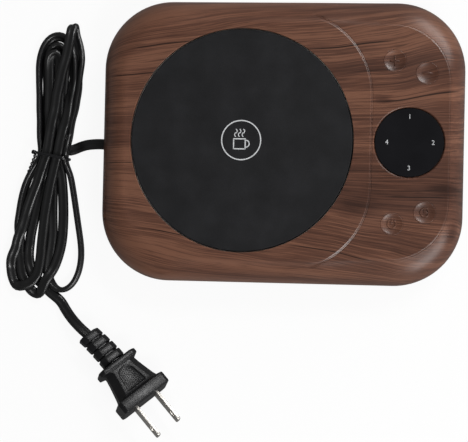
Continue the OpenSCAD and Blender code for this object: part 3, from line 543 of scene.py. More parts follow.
@dataclass(frozen=True)
class WoodPrint(Finish):
    """Dark walnut print under a clear satin coat, its grain fanned out towards the panel."""

    deep: Colour = (0.034, 0.0135, 0.0085)
    mid: Colour = (0.103, 0.0425, 0.0260)
    light: Colour = (0.176, 0.0775, 0.0460)
    # height of the deck in metres, from which the print is drawn down the sides
    crown: float = 0.03
    # how fast the grain draws together towards the rear, for each metre
    fan: float = 3.0
    # how far the grain wanders from side to side, in metres
    wander: float = 0.014
    # shares of the streaks, the fibres and the hairs in the tone
    streak_share: float = 0.65
    fibre_share: float = 0.75
    hair_share: float = 0.45
    # painted light: how much paler the print is painted for each metre to the rear and to the
    # sides, a painted fall of light that leaves the front darker, and how much darker it is all
    # over
    rear_painted_light: float = 0.50
    side_painted_light: float = 0.95
    even_fall: float = 0.035
    # how dark the knots, the pores and the long lines are
    knot_dark: float = 0.16
    pore_dark: float = 0.4
    line_dark: float = 0.95
    # soft knots: place, and reach across and along the grain, in metres
    knots: Tuple[Tuple[Pair, Pair], ...] = (
        ((0.0204, -0.0489), (0.0028, 0.0065)), ((-0.031, -0.036), (0.005, 0.016)),
        ((-0.044, -0.086), (0.007, 0.008)), ((-0.022, -0.080), (0.004, 0.012)))
    # where a long line fades out and is full across it, as shares of its half-width, and where
    # its ends begin to fade, as a share of half its length
    line_edge: Pair = (1.6, 0.4)
    line_end: float = 0.55
    # places of long dark lines: across the grain, start and end along it, half-width, in metres
    lines: Tuple[Tuple[float, float, float, float], ...] = (
        (0.0530, 0.040, 0.076, 0.00034), (0.0380, 0.054, 0.086, 0.00028),
        (0.0420, -0.058, -0.010, 0.00030), (0.0187, -0.092, -0.040, 0.00026),
        (-0.0520, 0.010, 0.070, 0.00024), (-0.0490, -0.050, 0.000, 0.00028),
        (-0.0148, 0.064, 0.090, 0.00024), (-0.0205, -0.084, -0.046, 0.00022))

    def _streaks(self, graph: Graph, where: bpy.types.NodeSocket, scale: Point, detail: float,
                 rough: float) -> bpy.types.NodeSocket:
        """Noise drawn out along the grain.

        Args:
            graph: The material's nodes.
            where: Coordinates.
            scale: Cycles per metre along each axis.
            detail: Octaves.
            rough: How strong the finer octaves are.

        Returns:
            A value round one half.
        """
        run = graph.add("Mapping", None, {"Vector": where, "Scale": scale})
        noise = graph.add("TexNoise", None, {"Vector": run.outputs[0], "Scale": 1.0,
                                             "Detail": detail, "Roughness": rough})
        return noise.outputs["Fac"]

    @staticmethod
    def _band(graph: Graph, value: object, start: float, end: float) -> bpy.types.NodeSocket:
        """Zero to one between two values of a socket."""
        node = graph.add("MapRange", None, {"Value": value, "From Min": start, "From Max": end})
        return node.outputs[0]

    def _knot(self, graph: Graph, where: bpy.types.NodeSocket, at: Pair,
              size: Pair) -> bpy.types.NodeSocket:
        """Soft dark spot.

        Args:
            graph: The material's nodes.
            where: Coordinates.
            at: Its place in metres.
            size: Its reach across and along the grain in metres.

        Returns:
            One in its middle, falling to zero.
        """
        from_it = graph.add("Mapping", {"vector_type": "TEXTURE"},
                            {"Vector": where, "Location": (*at, 0.0), "Scale": (*size, 1.0)})
        far = graph.add("VectorMath", {"operation": "LENGTH"}, {0: from_it.outputs[0]})
        return self._band(graph, far.outputs["Value"], 1.0, 0.2)

    def _wrapped(self, graph: Graph) -> bpy.types.NodeSocket:
        """Coordinates that run on down the sides, as a film does that is drawn over the edges.

        Args:
            graph: The material's nodes.

        Returns:
            The place across and along the grain, in metres.
        """
        source = graph.add("TexCoord")
        spot = graph.add("SeparateXYZ", None, {0: source.outputs["Object"]})
        facing = graph.add("SeparateXYZ", None, {0: source.outputs["Normal"]})
        fall = graph.maths("SUBTRACT", self.crown, spot.outputs["Z"])
        across = graph.maths("MULTIPLY_ADD", facing.outputs["X"], fall, spot.outputs["X"])
        along = graph.maths("MULTIPLY_ADD", facing.outputs["Y"], fall, spot.outputs["Y"])
        return graph.add("CombineXYZ", None, {"X": across, "Y": along}).outputs[0]

    def _long_lines(self, graph: Graph, where: bpy.types.NodeSocket) -> bpy.types.NodeSocket:
        """Long thin dark lines, each with soft ends.

        Args:
            graph: The material's nodes.
            where: Coordinates, swayed so that the lines wander.

        Returns:
            One on the lines and zero beside them.
        """
        spot = graph.add("SeparateXYZ", None, {0: where})
        outside, inside = self.line_edge
        total: object = 0.0
        for place, start, end, half in self.lines:
            off = graph.maths("ABSOLUTE", graph.maths("SUBTRACT", spot.outputs["X"], place))
            thin = self._band(graph, off, half * outside, half * inside)
            middle, reach = (start + end) / 2, (end - start) / 2
            away = graph.maths("ABSOLUTE", graph.maths("SUBTRACT", spot.outputs["Y"], middle))
            fade = self._band(graph, away, reach, reach * self.line_end)
            total = graph.maths("MULTIPLY_ADD", thin, fade, total)
        return graph.maths("MINIMUM", total, 1.0)

    def paint(self, graph: Surface) -> None:
        """Long streaks, fine fibres, hairs, pores, long dark lines, a few knots, and painted light
        that grows paler to the rear and to the sides.

        Args:
            graph: The material's nodes.
        """
        where = self._wrapped(graph)
        run = graph.add("SeparateXYZ", None, {0: where})
        spread = graph.maths("MULTIPLY_ADD", run.outputs["Y"], self.fan, 1.0)
        across = graph.maths("MULTIPLY", run.outputs["X"], spread)
        fanned = graph.add("CombineXYZ", None, {"X": across, "Y": run.outputs["Y"]})
        sway = graph.add("TexNoise", None, {"Vector": where, "Scale": 11.0, "Detail": 2.0})
        centred = graph.add("VectorMath", {"operation": "SUBTRACT"},
                            {0: sway.outputs["Color"], 1: (0.5, 0.5, 0.5)})
        bend = graph.add("VectorMath", {"operation": "SCALE"},
                         {0: centred.outputs[0], "Scale": self.wander})
        moved = graph.add("VectorMath", {"operation": "ADD"},
                          {0: fanned.outputs[0], 1: bend.outputs[0]}).outputs[0]
        broad = self._streaks(graph, moved, (75, 5, 1), 4.0, 0.55)
        fine = self._streaks(graph, moved, (1450, 14, 1), 5.0, 0.70)
        hair = self._streaks(graph, moved, (3400, 44, 1), 3.0, 0.6)
        pore = self._band(graph, self._streaks(graph, moved, (1700, 80, 1), 1.0, 0.5), 0.60, 0.72)
        lines = self._long_lines(graph, moved)
        tone = graph.maths("MULTIPLY", fine, self.fibre_share)
        for part, share in ((broad, self.streak_share), (hair, self.hair_share)):
            tone = graph.maths("MULTIPLY_ADD", part, share, tone)
        for at, size in self.knots:
            spot = self._knot(graph, where, at, size)
            tone = graph.maths("MULTIPLY_ADD", spot, -self.knot_dark, tone)
        # painted light: the tone is painted paler to the rear and to the sides, darker at the front
        tone = graph.maths("MULTIPLY_ADD", run.outputs["Y"], self.rear_painted_light, tone)
        side = graph.maths("ABSOLUTE", run.outputs["X"])
        tone = graph.maths("MULTIPLY_ADD", side, self.side_painted_light,
                           graph.maths("SUBTRACT", tone, self.even_fall))
        colour = graph.ramp(tone, ((0.68, self.deep), (0.92, self.mid), (1.12, self.light)))
        dark = graph.maths("MAXIMUM", graph.maths("MULTIPLY", pore, self.pore_dark),
                           graph.maths("MULTIPLY", lines, self.line_dark))
        colour = graph.mix(dark, colour, toned(self.deep, 0.4))
        graph.link(Base_Color=colour,
                   Roughness=graph.handling(where, 0.30, 0.38),
                   Normal=graph.bump(fine, 0.10, 0.00005),
                   Specular_IOR_Level=0.42, Coat_Weight=0.15, Coat_Roughness=0.25)


@dataclass(frozen=True)
class Coating(Finish):
    """Matte non-stick coating with a fine mineral sparkle."""

    colour: Colour = (0.0118, 0.0120, 0.0132)

    def paint(self, graph: Surface) -> None:
        """Fine speckles in colour and bump.

        Args:
            graph: The material's nodes.
        """
        where = graph.place()
        skin = graph.skin(where, 2400.0)
        colour = graph.ramp(skin.outputs["Shade"], ((0.32, toned(self.colour, 0.65)),
                                                    (0.5, self.colour),
                                                    (0.7, toned(self.colour, 1.5))))
        graph.link(Base_Color=colour,
                   Roughness=graph.handling(where, 0.56, 0.62),
                   Normal=graph.bump(skin.outputs["Height"], 0.5, 0.00004),
                   Specular_IOR_Level=0.2)


@dataclass(frozen=True)
class Felt(Finish):
    """Pressed fibre or a woven sleeve."""

    colour: Colour
    scale: float = 1400.0

    def paint(self, graph: Surface) -> None:
        """Crossed fibres with a soft sheen.

        Args:
            graph: The material's nodes.
        """
        where = graph.place()
        fibres = graph.add("TexVoronoi", {"feature": "DISTANCE_TO_EDGE"},
                           {"Vector": where, "Scale": self.scale})
        colour = graph.ramp(fibres.outputs["Distance"], ((0.0, toned(self.colour, 0.6)),
                                                         (0.35, self.colour)))
        graph.link(Base_Color=colour, Roughness=0.9, Sheen_Weight=0.3,
                   Normal=graph.bump(fibres.outputs["Distance"], 0.7, 0.0002))


@dataclass(frozen=True)
class BoardLacquer(Finish):
    """Green solder lacquer over copper tracks."""

    colour: Colour = (0.022, 0.115, 0.055)

    def paint(self, graph: Surface) -> None:
        """Tracks as paler lines that stand slightly proud.

        Args:
            graph: The material's nodes.
        """
        where = graph.place()
        run = graph.add("Mapping", None, {"Vector": where, "Scale": (160.0, 320.0, 1.0)})
        tracks = graph.add("TexBrick", {"offset": 0.5, "squash": 0.7},
                           {"Vector": run.outputs[0], "Scale": 1.0, "Mortar Size": 0.12,
                            "Mortar Smooth": 0.2, "Color1": (0.0, 0.0, 0.0, 1),
                            "Color2": (0.1, 0.1, 0.1, 1), "Mortar": (1, 1, 1, 1)})
        colour = graph.mix(tracks.outputs["Fac"], self.colour, toned(self.colour, 1.9))
        graph.link(Base_Color=colour,
                   Roughness=graph.handling(where, 0.25, 0.38),
                   Normal=graph.bump(tracks.outputs["Fac"], 0.4, 0.00008), Coat_Weight=0.4,
                   Coat_Roughness=0.15)


@dataclass(frozen=True)
class LensGloss(Finish):
    """Dark smoked lens, highly polished."""

    def paint(self, graph: Surface) -> None:
        """Nearly black with a faint wipe haze.

        Args:
            graph: The material's nodes.
        """
        where = graph.place()
        haze = graph.add("TexNoise", None, {"Vector": where, "Scale": 60.0, "Detail": 5.0})
        colour = graph.ramp(haze.outputs["Fac"], ((0.3, (0.0045, 0.0045, 0.0055)),
                                                  (0.7, (0.0075, 0.0075, 0.009))))
        graph.link(Base_Color=colour,
                   Roughness=graph.handling(where, 0.05, 0.10),
                   Specular_IOR_Level=0.5)


@dataclass(frozen=True)
class PrintInk(Finish):
    """Pale screen-printed ink, a little uneven."""

    def paint(self, graph: Surface) -> None:
        """Specks of wear in the colour.

        Args:
            graph: The material's nodes.
        """
        wear = graph.add("TexNoise", None, {"Vector": graph.place(), "Scale": 1800.0,
                                            "Detail": 3.0})
        colour = graph.ramp(wear.outputs["Fac"], ((0.3, (0.40, 0.41, 0.42)),
                                                  (0.55, (0.62, 0.63, 0.64))))
        graph.link(Base_Color=colour, Roughness=0.6)


class Finishes:
    """All the finishes of the warmer, built once and found by slot."""

    ALL: Tuple[Finish, ...] = (
        WoodPrint("wood_print"),
        Coating("plate_coating"),
        LensGloss("lens_black"),
        PrintInk("print_ink"),
        Moulded("black_plastic", (0.020, 0.020, 0.022), (0.42, 0.52)),
        Moulded("foot_rubber", (0.015, 0.015, 0.016), (0.6, 0.75), 1500.0, 0.00008, 0.3),
        Moulded("lead_jacket", (0.0062, 0.0062, 0.0066), (0.28, 0.38), 1500.0, 0.00003, 0.75),
        Moulded("tie_black", (0.008, 0.008, 0.009), (0.18, 0.26), 1800.0, 0.00003, 0.6),
        Moulded("plug_black", (0.0062, 0.0062, 0.0070), (0.32, 0.42), 2600.0, 0.00006, 0.5),
        Metal("blade_nickel", (0.80, 0.77, 0.72), (0.36, 0.46), (60.0, 60.0, 160.0)),
        Moulded("silicone", (0.50, 0.48, 0.44), (0.5, 0.6), 1200.0),
        Metal("heater_foil", (0.62, 0.44, 0.20), (0.28, 0.38)),
        Felt("fibre_pad", (0.75, 0.72, 0.64)),
        Metal("sheet_steel", (0.56, 0.57, 0.59), (0.28, 0.4), (30.0, 700.0, 30.0)),
        Metal("screw_steel", (0.52, 0.52, 0.54), (0.2, 0.3)),
        Moulded("sensor_bead", (0.60, 0.55, 0.45), (0.12, 0.2), 1800.0, 0.00002, 0.6),
        Metal("fuse_case", (0.66, 0.67, 0.69), (0.22, 0.32)),
        Moulded("white_plastic", (0.75, 0.72, 0.66), (0.35, 0.45)),
        BoardLacquer("board_green"),
        Moulded("plunger_white", (0.60, 0.58, 0.53), (0.38, 0.48)),
        Moulded("relay_blue", (0.03, 0.09, 0.30), (0.3, 0.4)),
        Moulded("coil_yellow", (0.65, 0.42, 0.06), (0.3, 0.4), 900.0, 0.0001),
        Moulded("sleeve_blue", (0.02, 0.04, 0.10), (0.15, 0.25)),
        Moulded("terminal_green", (0.03, 0.22, 0.12), (0.35, 0.45)),
        Moulded("wire_brown", (0.22, 0.08, 0.03), (0.3, 0.4)),
        Felt("wire_white", (0.65, 0.62, 0.55), 2600.0),
        Moulded("wire_red", (0.50, 0.05, 0.03), (0.3, 0.4)),
        Moulded("ribbon_grey", (0.60, 0.60, 0.58), (0.4, 0.5)),
    )

    def __init__(self) -> None:
        """Build every material."""
        kit = ShaderKit()
        self.built = {finish.slot: finish.build(kit) for finish in self.ALL}

    def __getitem__(self, slot: str) -> bpy.types.Material:
        """The material of a slot."""
        return self.built[slot]

    def dress_node(self, node: bpy.types.Object) -> None:
        """Give a node of the frame the finishes of its slots.

        Args:
            node: The node, whose materials are named for their slots.
        """
        for holder in node.material_slots:
            name = holder.material.name.split(".")[0] if holder.material else ""
            if name in self.built:
                holder.material = self.built[name]
            else:
                LOG.warning("no finish for %s on %s", name, node.name)


# ---------------------------------------------------------------- camera and studio


@dataclass
class Viewpoint:
    """Camera above the housing, its picture's right towards the user's side."""

    seat: Point = (-48.15, -57.84, 750.0)
    turn: Point = (-0.0153, -0.1085, -0.0223)
    picture_width: float = 468.0
    focal_pixels: float = 1514.4
    sensor: float = 36.0
    sees: Pair = (0.01, 20.0)

    def build(self) -> bpy.types.Object:
        """Make the camera and set it as the scene's.

        Returns:
            The camera.
        """
        data = bpy.data.cameras.new("view_camera")
        data.sensor_fit = "HORIZONTAL"
        data.sensor_width = self.sensor
        data.lens = self.focal_pixels / self.picture_width * self.sensor
        data.clip_start, data.clip_end = self.sees
        camera = bpy.data.objects.new("view_camera", data)
        bpy.context.scene.collection.objects.link(camera)
        around_x, around_y, around_z = (Matrix.Rotation(angle, 3, axis)
                                        for angle, axis in zip(self.turn, "XYZ"))
        tilt = (around_x @ around_y @ around_z).transposed()
        picture = Matrix(((0, 1, 0), (-1, 0, 0), (0, 0, 1)))
        camera.matrix_world = (Matrix.Translation(Vector(self.seat) * MM)
                               @ (picture @ tilt).to_4x4())
        bpy.context.scene.camera = camera
        return camera


@dataclass
class Studio:
    """White table and sky, with soft lamps at both sides of the front and a weak one before it."""

    sky: float = 0.245
    # share of the sky's light from the user's side and from the rear
    ahead: float = 1.45
    behind: float = 0.55
    # what gloss mirrors overhead and near the horizon, and how high the one gives way to the other
    ceiling: float = 0.10
    horizon: float = 0.16
    ceiling_rise: Pair = (0.30, 0.62)
    # how far the table is plain white for the camera and in gloss, and how bright it is in gloss
    floor_glow: float = 0.92
    floor_mirror: float = 0.9
    floor_gloss: float = 0.10
    floor_reach: float = 3000.0

    def build(self) -> None:
        """Make the floor, the sky and the lamps."""
        bpy.context.scene.view_settings.view_transform = "Standard"
        self._floor()
        self._sky()
        for name, side in (("left", -1.0), ("right", 1.0)):
            self._lamp(f"shoulder_{name}", (0.80 * side, -0.72, 0.25), (0.02 * side, -0.05, 0.02),
                       (0.82, 0.46), 4.3)
            self._lamp(f"edge_{name}", (0.64 * side, -0.48, 0.95), (0.0, -0.03, 0.03),
                       (0.52, 0.17), 5.4)
        self._lamp("front_fill", (0.0, -0.75, 0.75), (0.0, 0.0, 0.0), (0.50, 0.30), 1.2, False)

    @staticmethod
    def _seen(graph: Graph) -> Tuple[bpy.types.NodeSocket, bpy.types.NodeSocket]:
        """Tell the rays apart that show the background as such.

        Args:
            graph: The nodes of a material or the world.

        Returns:
            One for camera rays, and one for rays that show it in gloss or glass.
        """
        path = graph.add("LightPath")
        gloss = graph.maths("MAXIMUM", path.outputs["Is Glossy Ray"],
                            path.outputs["Is Transmission Ray"])
        return path.outputs["Is Camera Ray"], gloss

    def _floor(self) -> None:
        """Plain pale table that keeps the shadow."""
        bm = bmesh.new()
        bmesh.ops.create_grid(bm, x_segments=1, y_segments=1, size=self.floor_reach)
        table = MeshShop.finish(bm, "table_top", None)
        material = bpy.data.materials.new("table_white")
        material.use_nodes = True
        graph = Graph(material.node_tree)
        output = next(n for n in material.node_tree.nodes if n.type == "OUTPUT_MATERIAL")
        matte = graph.add("BsdfDiffuse", None, {"Color": (0.86, 0.86, 0.86, 1)})
        glow = graph.add("Emission", None, {"Color": (1, 1, 1, 1), "Strength": 1.0})
        camera, gloss = self._seen(graph)
        share = graph.maths("MULTIPLY_ADD", gloss, self.floor_mirror,
                            graph.maths("MULTIPLY", camera, self.floor_glow))
        level = graph.add("MapRange", None, {"Value": gloss, "To Min": 1.0,
                                             "To Max": self.floor_gloss})
        material.node_tree.links.new(level.outputs["Result"], glow.inputs["Strength"])
        blend = graph.add("MixShader", None, {0: share, 1: matte.outputs[0], 2: glow.outputs[0]})
        material.node_tree.links.new(blend.outputs[0], output.inputs["Surface"])
        table.data.materials.append(material)

    def _sky(self) -> None:
        """Soft sky, white where it is seen, with a dim studio ceiling overhead in reflections."""
        world = bpy.data.worlds.new("studio_sky")
        world.use_nodes = True
        bpy.context.scene.world = world
        graph = Graph(world.node_tree)
        back = next(n for n in world.node_tree.nodes if n.type == "BACKGROUND")
        camera, gloss = self._seen(graph)
        way = graph.add("SeparateXYZ", None, {0: graph.add("TexCoord").outputs["Generated"]})
        low, high = self.ceiling_rise
        dome = graph.add("MapRange", None, {"Value": way.outputs["Z"], "From Min": low,
                                            "From Max": high, "To Min": self.horizon,
                                            "To Max": self.ceiling})
        front = graph.add("MapRange", None, {"Value": way.outputs["Y"], "From Min": -1.0,
                                             "From Max": 1.0, "To Min": self.ahead * self.sky,
                                             "To Max": self.behind * self.sky})
        lit = graph.add("MapRange", None, {"Value": gloss, "To Min": front.outputs["Result"],
                                           "To Max": dome.outputs["Result"]})
        strength = graph.maths("MAXIMUM", camera, lit.outputs["Result"])
        back.inputs["Color"].default_value = (1, 1, 1, 1)
        world.node_tree.links.new(strength, back.inputs["Strength"])

    @staticmethod
    def _lamp(name: str, at: Point, aim: Point, size: Pair, power: float,
              shows: bool = True) -> None:
        """Hang a rectangular soft lamp.

        Args:
            name: Name of the lamp.
            at: Its place in metres.
            aim: The point it faces.
            size: Its width and height in metres.
            power: Its power in watts.
            shows: Whether glossy surfaces mirror it.
        """
        data = bpy.data.lights.new(name, "AREA")
        data.shape = "RECTANGLE"
        data.size, data.size_y = size
        data.energy = power
        lamp = bpy.data.objects.new(name, data)
        bpy.context.scene.collection.objects.link(lamp)
        lamp.location = at
        lamp.visible_glossy = shows
        lamp.rotation_euler = (Vector(aim) - Vector(at)).to_track_quat("-Z", "Y").to_euler()


# ---------------------------------------------------------------- lead


def strides(rows: np.ndarray) -> np.ndarray:
    """Distance from each row's place to the next one's."""
    return np.linalg.norm(np.diff(rows[:, :3], axis=0), axis=1)


def smooth_run(knots: np.ndarray, spacing: float, samples: int = 6000) -> np.ndarray:
    """Natural cubic spline through knots, resampled evenly.

    Args:
        knots: One row for each knot, its first three columns a place.
        spacing: Distance between the resampled rows.
        samples: How many places the curve is measured at.

    Returns:
        The rows, evenly spaced along the curve.
    """
    chord = strides(knots)
    at = np.concatenate(([0.0], np.cumsum(chord)))
    count = len(at)
    system = np.zeros((count, count))
    right = np.zeros_like(knots)
    system[0, 0] = system[-1, -1] = 1.0
    for i in range(1, count - 1):
        before, after = chord[i - 1], chord[i]
        system[i, i - 1:i + 2] = before, 2 * (before + after), after
        right[i] = 6 * ((knots[i + 1] - knots[i]) / after - (knots[i] - knots[i - 1]) / before)
    curve = np.linalg.solve(system, right)

    def sample(where: np.ndarray) -> np.ndarray:
        """Value of the spline at places along the chords.

        Args:
            where: Distances along the chords.

        Returns:
            One row for each of them.
        """
        i = np.clip(np.searchsorted(at, where, side="right") - 1, 0, count - 2)
        step = chord[i][:, None]
        a = ((at[i + 1] - where)[:, None]) / step
        b = 1 - a
        return (a * knots[i] + b * knots[i + 1]
                + ((a ** 3 - a) * curve[i] + (b ** 3 - b) * curve[i + 1]) * step ** 2 / 6)

    rows = sample(np.linspace(0, at[-1], samples))
    length = np.concatenate(([0.0], np.cumsum(strides(rows))))
    even = np.linspace(0, length[-1], int(round(length[-1] / spacing)) + 1)
    return np.stack([np.interp(even, length, rows[:, k]) for k in range(rows.shape[1])], axis=1)


@dataclass
class FlatLead:
    """Flat two-core lead from the rear wall, folded into a hank and on to the plug."""

    width: float = 5.2
    thick: float = 2.7
    # the cores' distance from the middle, and half the thickness of the web between them
    core_from: float = 1.25
    web: float = 1.12
    spacing: float = 1.5
    # slope past which the lead keeps the side that it had
    steep: float = 0.75
    # rounds of settling, and after how many of them the near pairs are looked for again
    rounds: int = 140
    look_again: int = 10
    # how near two cores are to be a pair, and how far apart along the lead
    look_reach: float = 6.0
    own_reach: float = 11.0
    # rows that stay put at the two ends, and over how many the hold fades
    held_rows: Tuple[int, int] = (8, 14)
    held_fade: float = 6.0
    # how strongly a round pushes and straightens, and how far it lets the lead sink
    push: float = 1.6
    straighten: float = 0.03
    sink: float = 0.01
    # room over the table at the end, and the dip past which a row is lifted outright
    clear: float = 0.12
    dip: float = 0.1
    # place and direction across of the tie, its reach to each side, along and up
    tie_place: Pair = (-7.8, 115.8)
    tie_axis: Pair = (0.187, 0.982)
    tie_inner: float = 8.3
    tie_half: float = 3.0
    tie_top: float = 9.7
    # places in millimetres, and how far the flat side leans in degrees
    knots: List[Tuple[float, float, float, float]] = field(default_factory=lambda: [
        # out of the rear wall and down to the table
        (-1.8, 88, 8, 0), (-1.65, 91.2, 7.54, 0), (-1.7, 94.8, 6.14, 0), (-2.0, 98.4, 4.35, 0),
        (-2.7, 101.8, 2.95, 0), (-3.8, 105.2, 2.1, 0), (-4.9, 108.6, 1.6, 0), (-3.6, 112.4, 1.4, 0),
        (3, 113.8, 1.4, 0), (16, 112.2, 1.4, 0), (30, 110.6, 1.5, 10), (38, 109.8, 2.2, 30),
        (44, 110, 2.2, 35),
        # first turn and the lowest run down
        (48, 112, 2.2, 35), (49.4, 115.2, 2.2, 40), (47.4, 118, 2.1, 40), (43, 119.8, 1.9, 30),
        (36, 120, 1.5, 10), (24, 119.6, 1.4, 0), (8, 119.2, 1.4, 0), (-2, 118.9, 2, 0),
        (-7.3, 118.3, 2.4, 0), (-14, 117.6, 1.8, 0), (-24, 116.2, 1.4, 0), (-36, 116.0, 1.4, 0),
        (-48, 115.6, 1.4, 5), (-57, 116.4, 1.6, 8), (-65, 117.6, 1.9, 25),
        # bottom turn over the tail and the right run up on edge
        (-71.2, 117, 3.0, 55), (-74.9, 113.9, 4.6, 80), (-75.6, 109.9, 5.0, 90),
        (-73.7, 106, 4, 90), (-69.4, 102.9, 3, 90), (-62.5, 100.8, 2.7, 90), (-54, 100.5, 2.7, 90),
        (-46, 101.7, 2.7, 90), (-36, 103.4, 2.7, 90), (-24, 105.5, 3, 90), (-14, 107.6, 4, 90),
        (-9.05, 108.6, 5.4, 90), (-3, 108.3, 5.7, 90), (5, 107.3, 4.2, 90), (15, 105.8, 2.8, 90),
        (27, 104.2, 2.7, 85), (36, 103.9, 2.4, 60), (43, 104.5, 2.0, 30), (49, 105.7, 1.5, 5),
        # fold back on itself and the top run down
        (55.4, 106.8, 1.6, 0), (58.3, 107, 2.8, 0), (59, 107.2, 4.8, 0), (58.2, 107.3, 6.8, 0),
        (55.4, 107.5, 7.9, 0), (49.2, 108.4, 8.3, 0), (42.7, 109.5, 8.2, 0), (34.1, 111.8, 8, 0),
        (25.1, 113.4, 7.6, 0), (17.6, 114.5, 7.4, 0), (10.1, 115.8, 7.4, 0), (1.5, 117.6, 7.8, 0),
        (-7.3, 118.5, 8, 0), (-12.4, 120.4, 8, 0), (-19.9, 122.8, 7.6, 0), (-27.5, 125.8, 7, 3),
        (-36.1, 128.8, 6.2, 5), (-44.2, 131.2, 5.4, 6), (-51.8, 133.2, 4.6, 8),
        (-58.8, 134.8, 3.7, 10), (-64.6, 135.9, 3, 12), (-69.2, 135.4, 2.4, 14),
        (-72.4, 133, 2.2, 14), (-73.2, 129.8, 2.8, 14),
        # second run up, over the waist
        (-72.2, 126.4, 3.9, 12), (-69.2, 123.2, 5, 10), (-63.4, 121.2, 5.8, 8),
        (-55, 120.8, 6.2, 5), (-47, 120.1, 6.2, 5), (-37.4, 119.1, 6.6, 3), (-29.9, 117.9, 7, 0),
        (-19.8, 116, 7.6, 0), (-8.3, 113.4, 8, 0), (-2.3, 112.2, 7.9, 0), (5.2, 110.8, 7.5, 0),
        (11.2, 109.3, 7, 10), (20, 108.8, 5.6, 25), (30, 106.9, 3.8, 40), (38, 107.0, 3.4, 45),
        (45, 108.2, 3.6, 45),
        # outer loop at the top and the left run down on edge
        (51.2, 111.4, 3.8, 42), (52.5, 114.8, 4, 38), (51.1, 118, 4, 42), (47.8, 120.4, 3.8, 52),
        (43.8, 122.2, 3.6, 66), (38.6, 123.5, 3.2, 78), (32, 124.1, 2.9, 86),
        (22.8, 123.7, 2.7, 90), (12.7, 122.9, 2.8, 90), (2.6, 122.6, 3.6, 90),
        (-6.5, 122.5, 5.2, 90), (-14.6, 126.2, 3.6, 80), (-21, 129.2, 2.7, 70),
        (-29.5, 131.4, 2.5, 65), (-38, 132.4, 2.4, 60), (-47, 132.2, 2.0, 35), (-55, 132.2, 1.5, 6),
        (-63, 131.3, 1.4, 2), (-69.7, 129.9, 1.5, 4),
        # under the lobe, the third run up
        (-74.6, 127.2, 2.2, 12), (-77.2, 123.4, 2.8, 16), (-76, 119.8, 3.8, 16),
        (-71.8, 117.6, 4.9, 12), (-66.8, 115.4, 5.4, 8), (-61, 113.3, 5.0, 5),
        (-52.3, 111.2, 4.2, 3), (-42.3, 110.3, 3.4, 3), (-32.2, 110.5, 3.4, 0),
        (-22.2, 111.2, 4, 0), (-15, 112.1, 4.8, 0), (-8.3, 113.2, 5.3, 0), (0, 112.9, 5.2, 0),
        (12, 112.8, 4.4, 0), (24, 113.3, 4.2, 0), (34, 113.8, 4.2, 8), (41, 113.8, 4.5, 25),
        (44.6, 114.8, 5, 40), (45.4, 116.9, 5.3, 45), (43.2, 118.6, 5.4, 38), (39.8, 119, 5.2, 20),
        # last run down, low under the others, and out to the plug
        (35, 118.6, 4.8, 5), (28, 118.3, 4.3, 0), (20.3, 118.7, 4.2, 0), (10.3, 118.3, 4.6, 0),
        (0.2, 118.3, 5.2, 0), (-7.3, 118.5, 5.3, 0), (-15, 119.8, 4.8, 0), (-26, 122.2, 3.6, 0),
        (-38, 124.9, 2.6, 0), (-48, 127, 2.9, 0), (-57, 128.3, 3.9, 0), (-64.5, 127.4, 3.6, 0),
        (-70.4, 123.6, 2.0, 0), (-74.2, 118.4, 1.5, 0), (-77, 113.9, 1.5, 0), (-80.6, 110.6, 2, 5),
        (-84.5, 107.8, 3, 10), (-88, 104.9, 4.6, 16), (-91.1, 101.7, 6.4, 21), (-94, 98.3, 7.8, 24),
        (-96.77, 94.82, 8.52, 26),
    ])

    def across(self, run: np.ndarray) -> Tuple[np.ndarray, np.ndarray]:
        """Direction along the lead and across its flat side at every row.

        Args:
            run: Rows of place and lean.

        Returns:
            Unit vectors along and across.
        """
        along = np.gradient(run[:, :3], axis=0)
        along /= np.linalg.norm(along, axis=1)[:, None]
        wide = np.zeros_like(along)
        last = np.array([1.0, 0.0, 0.0])
        for i, ahead in enumerate(along):
            side = np.cross(ahead, (0.0, 0.0, 1.0))
            if abs(ahead[2]) > self.steep:
                side = last
            else:
                side = side / np.linalg.norm(side)
                up = np.cross(side, ahead)
                lean = math.radians(run[i, 3])
                side = side * math.cos(lean) + up * math.sin(lean)
            side = side - ahead * side.dot(ahead)
            side /= np.linalg.norm(side)
            if side.dot(last) < 0:
                side = -side
            wide[i] = last = side
        return along, wide

    def _cores(self, run: np.ndarray, wide: np.ndarray) -> np.ndarray:
        """Middles of both cores, two rows for each row of the run."""
        return np.stack((run[:, :3] + wide * self.core_from,
                         run[:, :3] - wide * self.core_from), axis=1).reshape(-1, 3)

    @staticmethod
    def _shared(values: np.ndarray) -> np.ndarray:
        """Values along the lead, each one shared out among its neighbours."""
        blur = np.array([1, 3, 5, 6, 5, 3, 1], float)
        return np.convolve(np.pad(values, 3, mode="edge"), blur / blur.sum(), mode="valid")

    def _near_pairs(self, cores: np.ndarray) -> Tuple[np.ndarray, np.ndarray]:
        """Cores that may touch though they are far apart along the lead.

        Args:
            cores: Middles of the cores.

        Returns:
            Indices of the one and the other core of each pair.
        """
        owner = np.repeat(np.arange(len(cores) // 2), 2)
        gap = np.linalg.norm(cores[:, None, :] - cores[None, :, :], axis=2)
        along = np.abs(owner[:, None] - owner[None, :]) * self.spacing
        return np.nonzero(np.triu((gap < self.look_reach) & (along > self.own_reach)))

    def _part(self, cores: np.ndarray, one: np.ndarray, two: np.ndarray) -> np.ndarray:
        """Push cores apart that run into each other.

        Args:
            cores: Middles of the cores.
            one: Indices of the one core of each pair.
            two: Indices of the other core.

        Returns:
            How far each row of the run moves.
        """
        count = len(cores) // 2
        apart = cores[one] - cores[two]
        size = np.linalg.norm(apart, axis=1) + TINY
        deep = np.clip(self.thick - size, 0, None)
        push = apart / size[:, None] * (deep * 0.5)[:, None]
        move = np.zeros((count, 3))
        hits = np.full(count, TINY)
        for index, sign in ((one, 1.0), (two, -1.0)):
            np.add.at(move, index // 2, sign * push)
            np.add.at(hits, index // 2, deep > 0)
        return move / np.maximum(hits, 1.0)[:, None]

